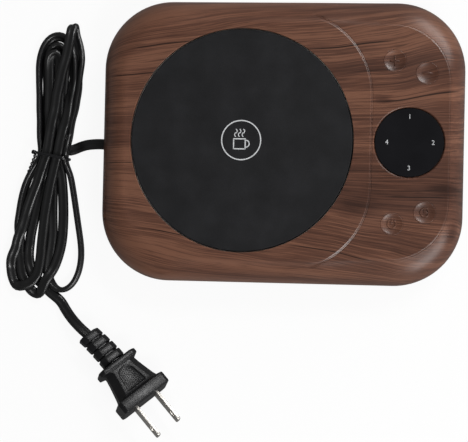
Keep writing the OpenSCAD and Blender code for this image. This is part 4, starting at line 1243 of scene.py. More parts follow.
    def _hold_in_tie(self, run: np.ndarray, wide: np.ndarray, top: np.ndarray,
                     move: np.ndarray) -> None:
        """Keep the runs inside the tie.

        Args:
            run: Rows of place and lean.
            wide: Direction across the flat side at every row.
            top: Height of the upper core's middle at every row.
            move: How far each row moves, which is changed.
        """
        radius = self.thick / 2
        tie_side = np.array(self.tie_axis)
        tie_run = np.array((self.tie_axis[1], -self.tie_axis[0]))
        place = run[:, :2] - np.array(self.tie_place)
        offset = place @ tie_side
        in_tie = np.abs(place @ tie_run) < self.tie_half
        reach = self.tie_inner - radius - np.abs(wide[:, :2] @ tie_side) * self.core_from
        over = np.clip(np.abs(offset) - reach, 0, None) * np.sign(offset) * in_tie
        move[:, :2] -= over[:, None] * tie_side
        move[:, 2] -= np.clip(top - (self.tie_top - radius), 0, None) * in_tie

    def settle(self, run: np.ndarray) -> np.ndarray:
        """Push crossing runs apart until the cores only touch, and lay them on the table.

        Args:
            run: Rows of place and lean.

        Returns:
            The settled rows.
        """
        run = run.copy()
        count = len(run)
        radius = self.thick / 2
        rows = np.arange(count)
        first, last = self.held_rows
        free = np.clip(np.minimum(rows - first, count - last - rows) / self.held_fade, 0, 1)
        for turn in range(self.rounds):
            _, wide = self.across(run)
            cores = self._cores(run, wide)
            if turn % self.look_again == 0:
                one, two = self._near_pairs(cores)
            move = self._part(cores, one, two)
            heights = cores[:, 2].reshape(-1, 2)
            low = heights.min(axis=1)
            move[:, 2] += np.clip(radius + self.sink - low, 0, None) - self.sink
            self._hold_in_tie(run, wide, heights.max(axis=1), move)
            for k in range(3):
                move[:, k] = self._shared(move[:, k])
            bend = np.zeros((count, 3))
            bend[1:-1] = (run[2:, :3] + run[:-2, :3]) / 2 - run[1:-1, :3]
            run[:, :3] += (self.push * move + self.straighten * bend) * free[:, None]
        low = self._cores(run, wide)[:, 2].reshape(-1, 2).min(axis=1)
        under = radius + self.clear - low
        run[:, 2] += self._shared(np.clip(under, 0, None))
        run[:, 2] += np.clip(under, 0, None) * (under > self.dip)
        return run

    def section(self, steps: int = 28) -> List[Pair]:
        """Outline of the lead: two round cores with a web between them.

        Args:
            steps: Number of its points.

        Returns:
            The points as places across and through the lead.
        """
        outline = []
        half = self.width / 2
        for step in range(steps):
            angle = math.tau * step / steps
            x = half * math.cos(angle)
            edge = max(0.0, (self.thick / 2) ** 2 - (abs(x) - self.core_from) ** 2)
            y = max(math.sqrt(edge), self.web if abs(x) < self.core_from else 0.0)
            rise = math.sin(angle)
            outline.append((x, math.copysign(y, rise) if abs(rise) > TINY else 0.0))
        return outline

    def build(self, finishes: Finishes,
              with_pieces: Sequence[bpy.types.Object]) -> bpy.types.Object:
        """Args:
            finishes: The finishes.
            with_pieces: Not used.

        Returns:
            The lead.
        """
        run = self.settle(smooth_run(np.array(self.knots, float), self.spacing))
        along, wide = self.across(run)
        thin = np.cross(along, wide)
        outline = self.section()
        rings = [[tuple(run[i, :3] + wide[i] * x + thin[i] * y) for x, y in outline]
                 for i in range(len(run))]
        lead = MeshShop.finish(MeshShop.chain(rings), "flat_lead", finishes["lead_jacket"], 70.0)
        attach(lead, "base")
        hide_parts("power_cord", "cord_hank", "cord_tail")
        return lead


@dataclass
class TwistTie:
    """Wire tie round the hank with a knot and two twisted ends."""

    place: Point = (-7.8, 115.8, 0.1)
    turn: float = -10.8
    half: float = 8.8
    height: float = 9.6
    corner: float = 3.4
    lift: float = 0.5
    knot: Point = (2.1, 2.4, 2.2)
    tail_turn: float = 168.0
    tail_drop: float = 12.0
    # length of the one end, and how much shorter the other is
    tail_length: float = 11.6
    tail_short: float = 1.4
    # length of one twist, each wire's distance from the middle and its radius, and at its tips
    twist: float = 4.2
    apart: float = 0.46
    wire: float = 0.42
    wire_tip: float = 0.25
    # how far the tips spread, and from which share of the length
    splay: float = 0.9
    splay_from: float = 0.8

    def _strip(self) -> List[Pair]:
        """Section of the tie: a wire between two thin wings.

        Returns:
            The points as places across and through the strip.
        """
        right = [(0.74, 0.0), (0.70, 0.15), (0.5, 0.19), (0.38, 0.3), (0.26, 0.42), (0.0, 0.47)]
        top = right + [(-x, y) for x, y in reversed(right[:-1])]
        return top + [(-x, -y) for x, y in top[1:-1]]

    def _loop(self) -> bmesh.types.BMesh:
        """Closed strip round the hank.

        Returns:
            The strip, its run in the plane across X.
        """
        outline = rounded_box_ring(2 * self.half, self.height, self.corner, 8)
        rings = []
        for i, (y, z) in enumerate(outline):
            before = Vector(outline[i - 1])
            after = Vector(outline[(i + 1) % len(outline)])
            out = Vector(((after - before).y, -(after - before).x)).normalized()
            rings.append([(u, y + out.x * v, z + self.height / 2 + self.lift + out.y * v)
                          for u, v in self._strip()])
        return MeshShop.chain(rings, close=True)

    def _wire(self, phase: float, reach: float) -> bmesh.types.BMesh:
        """One of the two ends, wound round the other.

        Args:
            phase: Angle at which it starts in degrees.
            reach: Its length.

        Returns:
            The wire, its start at the origin and its run along X.
        """
        rings = []
        steps = 44
        for i in range(steps + 1):
            along = reach * i / steps
            angle = math.radians(phase + 360 * along / self.twist)
            past = max(0.0, along - self.splay_from * reach)
            spread = self.apart + self.splay * past / reach
            centre = Vector((along, spread * math.cos(angle), spread * math.sin(angle)))
            slim = self.wire if i not in (0, steps) else self.wire_tip
            rings.append([(centre.x, centre.y + slim * math.cos(math.tau * k / 8),
                           centre.z + slim * math.sin(math.tau * k / 8)) for k in range(8)])
        return MeshShop.chain(rings)

    def build(self, finishes: Finishes) -> bpy.types.Object:
        """Make the tie and put it round the hank.

        Args:
            finishes: The finishes.

        Returns:
            The tie.
        """
        knot = MeshShop.block(self.knot, 0.75, 3)
        bmesh.ops.translate(knot, vec=(0, self.half - 0.2, self.height), verts=knot.verts)
        ends = MeshShop.join([self._wire(0, self.tail_length),
                              self._wire(180, self.tail_length - self.tail_short)])
        bmesh.ops.transform(ends, verts=ends.verts,
                            matrix=Matrix.Translation((0, self.half - 1.6, self.height + 1.0))
                            @ Matrix.Rotation(math.radians(self.tail_turn), 4, "Z")
                            @ Matrix.Rotation(math.radians(self.tail_drop), 4, "Y"))
        whole = MeshShop.join([self._loop(), knot, ends])
        bmesh.ops.transform(whole, verts=whole.verts, matrix=Matrix.Translation(self.place)
                            @ Matrix.Rotation(math.radians(self.turn), 4, "Z"))
        tie = MeshShop.finish(whole, "wire_tie", finishes["tie_black"], 50.0)
        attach(tie, "base")
        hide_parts("twist_tie")
        return tie


@dataclass
class Plug:
    """Two-blade plug with a ribbed relief, two flanges and a dotted thumb patch on each side."""

    rear: Point = (-95.74, 93.7, 8.52)
    roll: float = -26.0
    pitch: float = -5.6
    yaw: float = 222.6
    relief_bend: float = 0.004
    relief: float = 19.5
    ribs: int = 4
    body_from: float = 22.5
    body_to: float = 37.4
    # thickness of the waist behind and in front
    waist: Pair = (11.1, 13.5)
    face: float = 43.8
    patch_reach: float = 6.1
    patch_half: Pair = (4.4, 5.6)
    patch_depth: float = 0.8
    patch_corner: float = 0.9
    dot_radius: float = 0.36
    dot_pitch: Pair = (1.1, 0.95)
    blade_gap: float = 12.7
    blade: Point = (21.8, 1.5, 6.35)
    blade_shift: float = 6.8
    blade_seat: Point = (4, 1.9, 6.75)
    hole_at: float = 12.9
    hole: Pair = (1.6, 2.1)

    def frame(self) -> Matrix:
        """Place of the plug: its axis along local X from the lead's end."""
        turn = (Matrix.Rotation(math.radians(self.yaw), 4, "Z")
                @ Matrix.Rotation(math.radians(self.pitch), 4, "Y")
                @ Matrix.Rotation(math.radians(self.roll), 4, "X"))
        return Matrix.Translation(self.rear) @ turn

    def _stations(self) -> List[Tuple[float, float, float, float]]:
        """Sections of the moulding, from the lead to the face.

        Returns:
            Distance, width, thickness and chamfer of each.
        """
        pitch = self.relief / self.ribs
        rows = []
        # ribs of the relief, each with the groove after it
        for i in range(self.ribs):
            wide, thick = 11.2 + 0.3 * i, 9.0 + 0.25 * i
            at = i * pitch
            end = at + pitch - 0.7
            rows += [(at, wide - 1.2, thick - 1.2, 2.2), (at + 0.15, wide - 0.4, thick - 0.4, 2.4),
                     (at + 0.5, wide, thick, 2.6), (end - 0.5, wide, thick, 2.6),
                     (end - 0.15, wide - 0.4, thick - 0.4, 2.4),
                     (end, wide - 1.2, thick - 1.2, 2.2),
                     (end + 0.1, 9.0, 7.2, 2.0), (end + 0.6, 9.0, 7.2, 2.0)]
        # rear flange, the waist that widens forwards, and the front flange
        neck = self.body_from
        rows += [(self.relief, 20.6, 12.0, 2.2), (self.relief + 0.2, 21.7, 12.9, 2.2),
                 (self.relief + 0.7, 22.2, 13.4, 2.2), (neck - 0.7, 22.2, 13.4, 2.2),
                 (neck - 0.25, 21.8, 13.0, 2.2), (neck, 20.8, 12.2, 2.4),
                 (neck + 0.25, 18.6, 11.6, 3.0), (neck + 0.9, 17.6, 11.2, 3.4)]
        slim, thick = self.waist
        for step in range(1, 7):
            share = step / 7
            rows.append((neck + share * (self.body_to - neck), 17.2 + 6.4 * share ** 1.2,
                         slim + (thick - slim) * share, 3.4 + 0.4 * share))
        rows += [(self.body_to - 0.6, 23.6, 13.5, 3.6), (self.body_to - 0.1, 25.0, 14.0, 3.0),
                 (self.body_to + 0.1, 26.6, 14.6, 2.2), (self.body_to + 0.35, 27.4, 15.1, 1.6),
                 (self.body_to + 0.9, 27.8, 15.4, 1.5), (self.face - 0.8, 27.8, 15.4, 1.5),
                 (self.face - 0.25, 27.4, 15.0, 1.5), (self.face, 26.4, 14.0, 1.5)]
        return rows

    @staticmethod
    def _section(width: float, depth: float, cut: float, soft: float = 0.75) -> List[Pair]:
        """Rectangle with chamfered corners, its edges a little rounded.

        Args:
            width: Full size along the first axis.
            depth: Full size along the second axis.
            cut: Size of the chamfers.
            soft: Radius of the edges.

        Returns:
            Eight points for each corner, counterclockwise.
        """
        near = cut + (math.sqrt(2) - 1) * soft
        points = []
        for corner, (sx, sy) in enumerate(((1, 1), (-1, 1), (-1, -1), (1, -1))):
            beside = (width / 2 - soft, depth / 2 - near)
            above = (width / 2 - near, depth / 2 - soft)
            order = (beside, above) if corner % 2 == 0 else (above, beside)
            for half, (cx, cy) in enumerate(order):
                for step in range(4):
                    angle = math.radians(90 * corner + 45 * half + 15 * step)
                    points.append((sx * cx + soft * math.cos(angle),
                                   sy * cy + soft * math.sin(angle)))
        return points

    def _patch_limit(self, x: float) -> float:
        """Half-width of the thumb patch at a place along it.

        Args:
            x: Distance from its middle, towards the face.

        Returns:
            The half-width.
        """
        rear, front = self.patch_half
        bow = rear - self.patch_reach
        if x < bow:
            return math.sqrt(max(0.0, rear ** 2 - (x - bow) ** 2))
        return rear + (front - rear) * (x - bow) / (self.patch_reach - bow)

    def _patch_outline(self) -> List[Pair]:
        """Outline of the thumb patch, round at the rear and straight at the front.

        Returns:
            Its points round its middle.
        """
        rear, front = self.patch_half
        bow = rear - self.patch_reach
        turn = self.patch_corner
        points = [(bow + rear * math.cos(a), rear * math.sin(a))
                  for a in (math.radians(98 + 164 * k / 24) for k in range(25))]
        for sy, first in ((-1, -80), (1, 0)):
            points += [(self.patch_reach - turn + turn * math.cos(a),
                        sy * (front - turn) + turn * math.sin(a))
                       for a in (math.radians(first + 16 * k) for k in range(6))]
        return points

    def _patch(self, side: int) -> Tuple[bmesh.types.BMesh, bmesh.types.BMesh]:
        """Cutter of a thumb patch and the dots in it.

        Args:
            side: 1 for the upper face, -1 for the lower one.

        Returns:
            The cutter and the dots.
        """
        depth = self.patch_depth
        outline = self._patch_outline()
        levels = ((0.88, -depth), (0.95, 0.2 - depth), (1.0, 0.6 - depth), (1.04, 1.5))
        cutter = MeshShop.chain([[(x * share, y * share, z) for x, y in outline]
                                 for share, z in levels])
        dots = []
        for row in range(-6, 7):
            for col in range(-6, 7):
                x, y = self.dot_pitch[0] * (col + 0.5 * (row % 2)), self.dot_pitch[1] * row
                if x < self.patch_reach - 1.0 and abs(y) < self._patch_limit(x - 0.6) - 0.8:
                    dot = bmesh.new()
                    bmesh.ops.create_icosphere(dot, subdivisions=1, radius=self.dot_radius)
                    bmesh.ops.translate(dot, vec=(x, y, -depth), verts=dot.verts)
                    dots.append(dot)
        slim, thick = self.waist
        slope = math.atan((thick - slim) / 2 / (self.body_to - self.body_from))
        middle = (self.body_from + self.body_to) / 2
        lie = (Matrix.Translation((middle, 0, side * (thick + slim) / 4))
               @ Matrix.Rotation(-side * slope, 4, "Y")
               @ Matrix.Rotation(0 if side > 0 else math.pi, 4, "X"))
        field_of_dots = MeshShop.join(dots)
        for form in (cutter, field_of_dots):
            bmesh.ops.transform(form, verts=form.verts, matrix=lie)
        return cutter, field_of_dots

    def _body(self) -> bmesh.types.BMesh:
        """Shape the moulding, its relief bent towards the lead.

        Returns:
            The moulding with its patches and the seats of the blades.
        """
        rings = []
        for x, w, t, cut in self._stations():
            sway = self.relief_bend * max(0.0, self.relief - x) ** 2
            rings.append([(x, y - sway, z) for y, z in self._section(w, t, cut)])
        moulding = MeshShop.chain(rings)
        cutters, dots = zip(*(self._patch(side) for side in (1, -1)))
        seats = []
        for side in (-1, 1):
            seat = MeshShop.block(self.blade_seat)
            bmesh.ops.translate(seat, vec=(self.face + 1.5, side * self.blade_gap / 2, 0),
                                verts=seat.verts)
            seats.append(seat)
        return MeshShop.join([MeshShop.carve(moulding, list(cutters) + seats), *dots])

    def _blade(self, side: int) -> bmesh.types.BMesh:
        """One blade with a rounded tip and its hole.

        Args:
            side: 1 or -1, the side of the plug's middle it stands on.

        Returns:
            The blade.
        """
        blade = MeshShop.block(self.blade)
        tip = [e for e in blade.edges if all(v.co.x > 0 for v in e.verts)
               and abs(e.verts[0].co.z - e.verts[1].co.z) < 1e-6]
        bmesh.ops.bevel(blade, geom=tip, offset=1.4, segments=4, affect="EDGES", profile=0.5,
                        material=-1)
        bmesh.ops.bevel(blade, geom=list(blade.edges), offset=0.16, segments=2, affect="EDGES",
                        profile=0.5, material=-1)
        bmesh.ops.translate(blade, vec=(self.blade_shift, 0, 0), verts=blade.verts)
        bore, rim = self.hole
        hole = MeshShop.spin([(0, -2), (rim, -2), (rim, -0.75), (bore, -0.5), (bore, 0.5),
                              (rim, 0.75), (rim, 2), (0, 2)], 32)
        bmesh.ops.rotate(hole, verts=hole.verts, matrix=Matrix.Rotation(math.pi / 2, 3, "X"))
        bmesh.ops.translate(hole, vec=(self.hole_at, 0, 0), verts=hole.verts)
        cut = MeshShop.carve(blade, [hole])
        bmesh.ops.translate(cut, vec=(self.face, side * self.blade_gap / 2, 0), verts=cut.verts)
        return cut

    def build(self, finishes: Finishes) -> List[bpy.types.Object]:
        """Make the moulding and the blades in their place.

        Args:
            finishes: The finishes.

        Returns:
            The moulding and the pair of blades.
        """
        body = self._body()
        blades = MeshShop.join([self._blade(side) for side in (-1, 1)])
        pieces = []
        for form, name, node, slot in ((body, "plug_moulding", "plug_body", "plug_black"),
                                       (blades, "plug_blade_pair", "plug_blades", "blade_nickel")):
            bmesh.ops.transform(form, verts=form.verts, matrix=self.frame())
            piece = MeshShop.finish(form, name, finishes[slot], 40.0)
            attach(piece, "base")
            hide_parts(node)
            pieces.append(piece)
        return pieces


# ---------------------------------------------------------------- housing and panel


@dataclass
class TopCover:
    """Pillow-shaped top cover with its openings and the groove between deck and panel."""

    half_width: float = 68.5
    half_depth: float = 88.0
    corner: float = 33.3
    widest_z: float = 12.0
    top_z: float = 30.0
    seam_z: float = 8.5
    wall: float = 2.4
    plate_at: Pair = (0.0, 18.3)
    opening: float = 53.75
    panel_y: float = -61.7
    lens_opening: float = 16.6
    key_places: Tuple[Pair, ...] = ((-38.7, -54.2), (-33.0, -69.5), (38.7, -54.2), (33.0, -69.5))
    key_opening: float = 5.4
    corner_steps: int = 22
    # how far the inner wall leans in up to the deck, and the outer one below the widest line
    inner_draw: float = 9.0
    skirt_draw: float = 6.0
    skirt_over: float = 10.0
    # edge of the deck: half of its width, reach to the rear and the front, rear and front radius
    crest: Tuple[float, float, float, float, float] = (56.0, 74.6, 80.7, 31.0, 27.5)
    # where that edge begins to get crisp, over which distance, and its angle in the end
    crisp_from: float = -20.0
    crisp_over: float = 28.0
    crisp_angle: float = 27.0
    # groove: its front, side and corner radius, where it ends, and where and how fast it runs out
    groove: Tuple[float, float, float, float] = (-43.8, 62.4, 41.0, 4.0)
    groove_fade: Pair = (-19.0, 0.05)
    relief_slot: Point = (9.4, 16, 5.1)
    relief_at: Point = (-1.8, 86, 8)

    def _contour(self, half: float, rear: float, front: float, rear_r: float,
                 front_r: float) -> List[Pair]:
        """Rounded outline with the same order of points for every size.

        Args:
            half: Half of its width.
            rear: Reach to the rear.
            front: Reach to the front.
            rear_r: Radius of the rear corners.
            front_r: Radius of the front corners.

        Returns:
            The points counterclockwise.
        """
        arcs = []
        corners = ((1, rear, rear_r), (-1, rear, rear_r), (-1, -front, front_r),
                   (1, -front, front_r))
        for turn, (sx, y, r) in enumerate(corners):
            centre = (sx * (half - r), y - math.copysign(r, y))
            angles = [math.radians(90 * (turn + s / self.corner_steps))
                      for s in range(self.corner_steps + 1)]
            arcs.append([(centre[0] + r * math.cos(a), centre[1] + r * math.sin(a))
                         for a in angles])
        points = []
        for arc, following, count in zip(arcs, arcs[1:] + arcs[:1], (6, 18, 6, 18)):
            points += arc
            start, end = arc[-1], following[0]
            points += [(start[0] + (end[0] - start[0]) * k / count,
                        start[1] + (end[1] - start[1]) * k / count) for k in range(1, count)]
        return points

    def _inset(self, amount: float) -> List[Pair]:
        """Outline of the widest line drawn in by an amount."""
        return self._contour(self.half_width - amount, self.half_depth - amount,
                             self.half_depth - amount, self.corner - min(amount, 2.6),
                             self.corner - min(amount, 2.6))

    def _rings(self) -> List[List[Point]]:
        """Rings from the ceiling inside, down the inner wall and up the outer one to the deck.

        Returns:
            The rings, each with the same order of points.
        """
        height = self.top_z - self.widest_z
        walls = [(z, self.inner_draw * ((z - self.widest_z) / height) ** 2 + self.wall)
                 for z in (27.6, 26.5, 24.5, 22, 19, 15.5, 12)]
        walls.append((self.seam_z, self._skirt(self.seam_z) + self.wall))
        walls += [(z, self._skirt(z)) for z in (self.seam_z, 9.2, 10.1, 11)]
        rings = [[(x, y, z) for x, y in self._inset(draw)] for z, draw in walls]
        outer = self._inset(0)
        crest = self._deck_edge(0.0)
        crisp = [self._crispness(y) for _, y in crest]
        steps = 20
        for step in [*range(steps), steps - 0.22, steps]:
            ring = []
            for (ox, oy), (tx, ty), k in zip(outer, crest, crisp):
                limit = math.radians(90 - self.crisp_angle * k)
                phi = limit * step / steps
                share = (1 - math.cos(phi)) / (1 - math.cos(limit))
                rise = math.sin(phi) / math.sin(limit)
                soft = 0.17 * k * (step == steps)
                ring.append((ox + (tx - ox) * share, oy + (ty - oy) * share,
                             self.widest_z + height * rise - soft))
            rings.append(ring)
        for draw, drop in ((0.3, 0.06), (0.6, 0.0), (1.1, 0.0)):
            rings.append([(x, y, self.top_z - drop * k)
                          for (x, y), k in zip(self._deck_edge(draw), crisp)])
        return rings

    def _skirt(self, z: float) -> float:
        """How far the outer wall is drawn in at a height below the widest line."""
        return self.skirt_draw * ((self.widest_z - z) / self.skirt_over) ** 2

    def _deck_edge(self, draw: float) -> List[Pair]:
        """Edge of the deck, drawn in by an amount."""
        return self._contour(*(size - draw for size in self.crest))

    def _crispness(self, y: float) -> float:
        """Zero where the deck's edge is soft, and one where it is crisp towards the panel."""
        ease = min(1.0, max(0.0, (self.crisp_from - y) / self.crisp_over))
        return 3 * ease ** 2 - 2 * ease ** 3

    def _fall(self, x: float, y: float) -> float:
        """How far the shoulder lies below the deck at a place along a long side.

        Args:
            x: Place across.
            y: Place along.

        Returns:
            The distance down from the deck.
        """
        limit = math.radians(90 - self.crisp_angle * self._crispness(y))
        share = min(1.0, (self.half_width - abs(x)) / (self.half_width - self.crest[0]))
        phi = math.acos(1 - share * (1 - math.cos(limit)))
        return (self.top_z - self.widest_z) * (1 - math.sin(phi) / math.sin(limit))

    def _groove(self) -> bmesh.types.BMesh:
        """Cutter of the shallow groove that runs round the front of the deck.

        Returns:
            The cutter, closed at its ends.
        """
        section = ((-0.8, 31.2), (-0.8, 30.0), (-0.38, 29.85), (-0.22, 29.78), (-0.06, 29.95),
                   (0.3, 29.83), (0.42, 29.76), (0.52, 30.0), (0.52, 31.2))
        front, side, radius, back = self.groove
        path = [((side, back), (1, 0)), ((side, front + radius), (1, 0))]
        for step in range(1, 25):
            angle = math.radians(-90 * step / 24)
            path.append(((side - radius + radius * math.cos(angle),
                          front + radius + radius * math.sin(angle)),
                         (math.cos(angle), math.sin(angle))))
        path += [((-x, y), (-nx, ny)) for (x, y), (nx, ny) in reversed(path)]
        rings = []
        fade_from, slope = self.groove_fade
        for (x, y), (nx, ny) in path:
            lift = max(0.0, slope * (y - fade_from))
            rings.append([(x + nx * s, y + ny * s, z + lift - self._fall(x + nx * s, y + ny * s))
                          for s, z in section])
        return MeshShop.chain(rings)

    def _cutters(self) -> List[bmesh.types.BMesh]:
        """Forms that the openings are cut with.

        Returns:
            Plate opening, lens seat, groove, slot for the strain relief and key openings.
        """
        r = self.opening
        plate = MeshShop.spin([(0, 20), (r, 20), (r, 29.5), (r + 0.03, 29.87), (r + 0.11, 29.97),
                               (r + 0.21, 30.0), (r + 0.21, 32), (0, 32)], 192, (*self.plate_at, 0))
        r = self.lens_opening
        lens = MeshShop.spin([(0, 26), (14, 26), (14, 27.9), (r, 27.9), (r, 29.2), (r + 0.1, 29.62),
                              (r + 0.3, 29.9), (r + 0.55, 30.0), (r + 0.55, 32), (0, 32)], 128,
                             (0, self.panel_y, 0))
        r = self.key_opening
        keys = [MeshShop.spin([(0, 26), (r, 26), (r, 29.88), (r + 0.04, 29.96), (r + 0.12, 30.0),
                               (r + 0.12, 32), (0, 32)], 64, (x, y, 0))
                for x, y in self.key_places]
        slot = MeshShop.block(self.relief_slot, 2.0, 4)
        bmesh.ops.translate(slot, vec=self.relief_at, verts=slot.verts)
        return [plate, lens, self._groove(), slot, *keys]

    def build(self, finishes: Finishes) -> bpy.types.Object:
        """Make the cover, cut its openings and dress it.

        Args:
            finishes: The finishes.

        Returns:
            The cover.
        """
        shell = MeshShop.carve(MeshShop.chain(self._rings()), self._cutters())
        cover = MeshShop.finish(shell, "housing_top", finishes["wood_print"], 34.0, self.top_z)
        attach(cover, "base")
        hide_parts("top_cover")
        return cover


@dataclass
class WarmingPlate:
    """Round plate with its flange and a plain pictogram printed in its middle."""

    centre: Pair = (0.0, 18.3)
    radius: float = 53.25
    top_z: float = 29.5
    line: float = 0.55
    thin_line: float = 0.42

    def build(self, finishes: Finishes) -> List[bpy.types.Object]:
        """Make the plate and its print.

        Args:
            finishes: The finishes.

        Returns:
            The plate and its print.
        """
        r, z = self.radius, self.top_z
        form = MeshShop.spin([(0, 26.7), (49, 26.7), (49, 25.4), (57, 25.4), (57, 26.6), (r, 26.6),
                              (r, z - 0.35), (r - 0.08, z - 0.13), (r - 0.3, z - 0.02),
                              (r - 0.55, z), (0, z)], 192, (*self.centre, 0))
        plate = MeshShop.finish(form, "warming_plate", finishes["plate_coating"], 30.0, z)
        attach(plate, "base")
        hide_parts("heating_plate")
        mark = self._mark(finishes)
        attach(mark, "base")
        return [plate, mark]

    def _mark(self, finishes: Finishes) -> bpy.types.Object:
        """Ring with a mug and three wisps of steam in thin printed lines.

        Args:
            finishes: The finishes.

        Returns:
            The print.
        """
        line, thin = self.line, self.thin_line
        parts = [self._arc(9.4, 0, 360, line, (0, 0)),
                 self._bar(5.6, line, (-0.8, -4.2)), self._bar(line, 5.0, (-3.6, -1.9)),
                 self._bar(line, 5.0, (2.0, -1.9)), self._bar(6.15, line, (-0.8, 0.6)),
                 self._arc(1.7, -90, 90, 0.5, (2.2, -1.7))]
        for x in (-2.6, -0.8, 1.0):
            parts += [self._arc(1.0, 110, 250, thin, (x + 0.4, 2.6)),
                      self._arc(1.0, -70, 70, thin, (x - 0.4, 4.3))]
        form = MeshShop.join(parts)
        bmesh.ops.rotate(form, verts=form.verts, matrix=Matrix.Rotation(-math.pi / 2, 3, "Z"))
        bmesh.ops.translate(form, vec=(*self.centre, self.top_z + PRINT_LIFT), verts=form.verts)
        return MeshShop.finish(form, "plate_print", finishes["print_ink"], 30.0)

    @staticmethod
    def _bar(width: float, height: float, at: Pair) -> bmesh.types.BMesh:
        """A thin printed bar.

        Args:
            width: Its size along X.
            height: Its size along Y.
            at: Its middle.

        Returns:
            The bar.
        """
        bar = MeshShop.block((width, height, 2 * PRINT_HALF))
        bmesh.ops.translate(bar, vec=(*at, 0), verts=bar.verts)
        return bar

    @staticmethod
    def _arc(radius: float, start: float, end: float, line: float, at: Pair) -> bmesh.types.BMesh:
        """A thin printed arc.

        Args:
            radius: Radius of its middle line.
            start: First angle in degrees.
            end: Last angle in degrees.
            line: Width of the line.
            at: Its centre.

        Returns:
            The arc as a thin closed form.
        """
        inner, outer = radius - line / 2, radius + line / 2
        steps = max(6, int(abs(end - start) / 7.5))
        rings = []
        for i in range(steps + 1):
            a = math.radians(start + (end - start) * i / steps)
            rings.append([(at[0] + r * math.cos(a), at[1] + r * math.sin(a), z)
                          for r, z in ((inner, -PRINT_HALF), (outer, -PRINT_HALF),
                                       (outer, PRINT_HALF), (inner, PRINT_HALF))])
        if abs(end - start) >= 360:
            return MeshShop.chain(rings[:-1], close=True)
        return MeshShop.chain(rings)


@dataclass
class DisplayLens:
    """Round smoked lens with plain numbers printed at its four sides."""

    centre: Pair = (0.0, -61.7)
    radius: float = 16.3
    top_z: float = 29.7
    number_size: float = 3.1
    numbers: Tuple[Tuple[str, Pair], ...] = (("1", (12.2, 0.0)), ("2", (0.0, -11.2)),
                                             ("3", (-12.2, 0.0)), ("4", (0.0, 10.6)))

    def build(self, finishes: Finishes) -> List[bpy.types.Object]:
        """Make the lens and its print.

        Args:
            finishes: The finishes.

        Returns:
            The lens and its print.
        """
        r, z = self.radius, self.top_z
        form = MeshShop.spin([(0, 27.9), (r, 27.9), (r, z - 0.35), (r - 0.1, z - 0.12),
                              (r - 0.35, z), (0, z)], 128, (*self.centre, 0))
        lens = MeshShop.finish(form, "display_glass", finishes["lens_black"], 30.0, z)
        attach(lens, "base")
        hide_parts("display_lens")
        parts = [self._digit(text, at) for text, at in self.numbers]
        mark = MeshShop.finish(MeshShop.join(parts), "lens_print", finishes["print_ink"], 30.0)
        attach(mark, "base")
        return [lens, mark]

    def _digit(self, text: str, at: Pair) -> bmesh.types.BMesh:
        """One number as a thin printed form.

        Args:
            text: The number.
            at: Its place from the centre of the lens.

        Returns:
            Its mesh in millimetres.
        """
        curve = bpy.data.curves.new("number", "FONT")
        curve.body = text
        curve.size = self.number_size
        curve.align_x = "CENTER"
        curve.align_y = "CENTER"
        curve.extrude = PRINT_HALF
        holder = bpy.data.objects.new("number", curve)
        bpy.context.scene.collection.objects.link(holder)
        shape = holder.evaluated_get(bpy.context.evaluated_depsgraph_get())
        mesh = bpy.data.meshes.new_from_object(shape)
        bpy.data.objects.remove(holder)
        form = bmesh.new()
        form.from_mesh(mesh)
        bpy.data.meshes.remove(mesh)
        bmesh.ops.remove_doubles(form, verts=form.verts, dist=WELD)
        bmesh.ops.rotate(form, verts=form.verts, matrix=Matrix.Rotation(-math.pi / 2, 3, "Z"))
        bmesh.ops.translate(form, vec=(self.centre[0] + at[0], self.centre[1] + at[1],
                                       self.top_z + PRINT_LIFT), verts=form.verts)
        return form


class KeySign(Enum):
    """What stands in the dish of a key."""

    POWER = "power"
    TIMER = "timer"
    PLUS = "plus"
    MINUS = "minus"


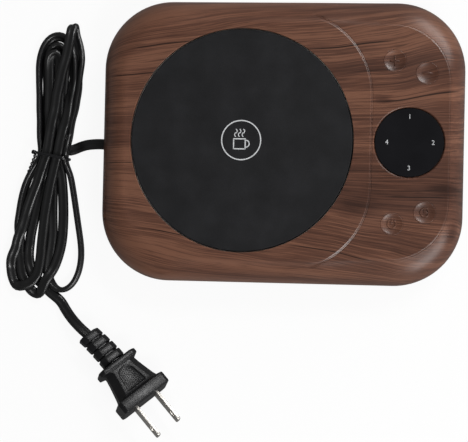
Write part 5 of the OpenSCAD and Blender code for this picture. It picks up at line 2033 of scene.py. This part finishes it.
@dataclass
class DishedKey:
    """Round key with a raised sign in its dish, which rides on a body of its own."""

    sign: KeySign
    centre: Pair
    radius: float = 5.36
    top_z: float = 30.0
    depth: float = 0.86
    # width of the rim round the dish, and how steeply the dish falls at it
    rim: float = 0.25
    bowl: float = 2.3
    sign_size: float = 4.5
    line: float = 0.62
    bar_height: float = 0.96

    def _profile(self) -> List[Pair]:
        """Stem, flange, side, rim and dish.

        Returns:
            The points as radius and height.
        """
        r, z = self.radius, self.top_z
        side = [(0, 24.3), (2, 24.3), (2, 26.6), (6.2, 26.6), (6.2, 27.3), (r, 27.3), (r, z - 0.12),
                (r - 0.05, z - 0.04), (r - 0.15, z)]
        dish = r - self.rim
        return side + [(dish * (1 - k / 9), z - self.depth * (1 - (1 - k / 9) ** self.bowl))
                       for k in range(10)]

    def _dish(self, x: float, y: float) -> float:
        """Height of the dish at a place from its centre."""
        share = min(1.0, math.hypot(x, y) / (self.radius - self.rim))
        return self.top_z - self.depth * (1 - share ** self.bowl)

    def _bar(self, length: float, turn: float = 0.0, shift: float = 0.0) -> bmesh.types.BMesh:
        """A raised bar.

        Args:
            length: Its length along X before it is turned.
            turn: Angle that it is turned by, in degrees.
            shift: How far it is moved along X before that.

        Returns:
            The bar.
        """
        bar = MeshShop.block((length, self.line, self.bar_height), 0.14, 2)
        bmesh.ops.translate(bar, vec=(shift, 0, 0), verts=bar.verts)
        bmesh.ops.rotate(bar, verts=bar.verts, matrix=Matrix.Rotation(math.radians(turn), 3, "Z"))
        return bar

    def _ring(self, start: float = 0.0, end: float = 360.0) -> bmesh.types.BMesh:
        """A raised ring or a part of one.

        Args:
            start: First angle in degrees.
            end: Last angle in degrees.

        Returns:
            The ring.
        """
        middle = (self.sign_size - self.line) / 2
        half = self.line / 2
        section = ((-half, -0.4), (half, -0.4), (half, 0.35), (half - 0.13, 0.48),
                   (0.13 - half, 0.48), (-half, 0.35))
        rings = []
        steps = 40
        for i in range(steps + 1):
            a = math.radians(start + (end - start) * i / steps)
            rings.append([((middle + s) * math.cos(a), (middle + s) * math.sin(a), z)
                          for s, z in section])
        if end - start >= 360:
            return MeshShop.chain(rings[:-1], close=True)
        return MeshShop.chain(rings)

    def _raised(self) -> bmesh.types.BMesh:
        """The sign, laid into the dish.

        Returns:
            The sign in its place.
        """
        size = self.sign_size
        if self.sign is KeySign.PLUS:
            parts = [self._bar(size), self._bar(size, 90.0)]
        elif self.sign is KeySign.MINUS:
            parts = [self._bar(size, 90.0)]
        elif self.sign is KeySign.TIMER:
            parts = [self._ring(), self._bar(size * 0.42, 0.0, size * 0.19),
                     self._bar(size * 0.36, -90.0, size * 0.16)]
        else:
            parts = [self._ring(38.0, 322.0), self._bar(size * 0.5, 0.0, size * 0.28)]
        sign = MeshShop.join(parts)
        for vert in sign.verts:
            vert.co.z += self._dish(vert.co.x, vert.co.y)
        bmesh.ops.translate(sign, vec=(*self.centre, 0.0), verts=sign.verts)
        return sign

    def build(self, finishes: Finishes) -> bpy.types.Object:
        """Make the key with its sign.

        Args:
            finishes: The finishes.

        Returns:
            The key.
        """
        cap = MeshShop.spin(self._profile(), 72, (*self.centre, 0))
        key = MeshShop.finish(MeshShop.join([cap, self._raised()]), f"{self.sign.value}_pad",
                              finishes["wood_print"], 38.0)
        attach(key, f"{self.sign.value}_key_body")
        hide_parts(f"{self.sign.value}_key")
        return key


# ---------------------------------------------------------------- the whole warmer


def main() -> None:
    """Build the warmer piece by piece."""
    logging.basicConfig(level=logging.INFO, format="%(name)s: %(message)s")
    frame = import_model()
    Viewpoint().build()
    finishes = Finishes()
    plug = Plug().build(finishes)
    tie = TwistTie().build(finishes)
    LOG.info("plug and tie: %s", [piece.name for piece in (*plug, tie)])
    lead = FlatLead().build(finishes, [*plug, tie])
    LOG.info("lead: %s, %d faces", lead.name, len(lead.data.polygons))
    Studio().build()
    cover = TopCover().build(finishes)
    LOG.info("cover: %s, %d faces", cover.name, len(cover.data.polygons))
    for piece in (*WarmingPlate().build(finishes), *DisplayLens().build(finishes)):
        LOG.info("panel: %s, %d faces", piece.name, len(piece.data.polygons))
    for sign, centre in zip(KeySign, TopCover.key_places):
        LOG.info("key: %s", DishedKey(sign, centre).build(finishes).name)
    for node in frame["nodes"].values():
        finishes.dress_node(node)


if __name__ == "__main__":
    main()
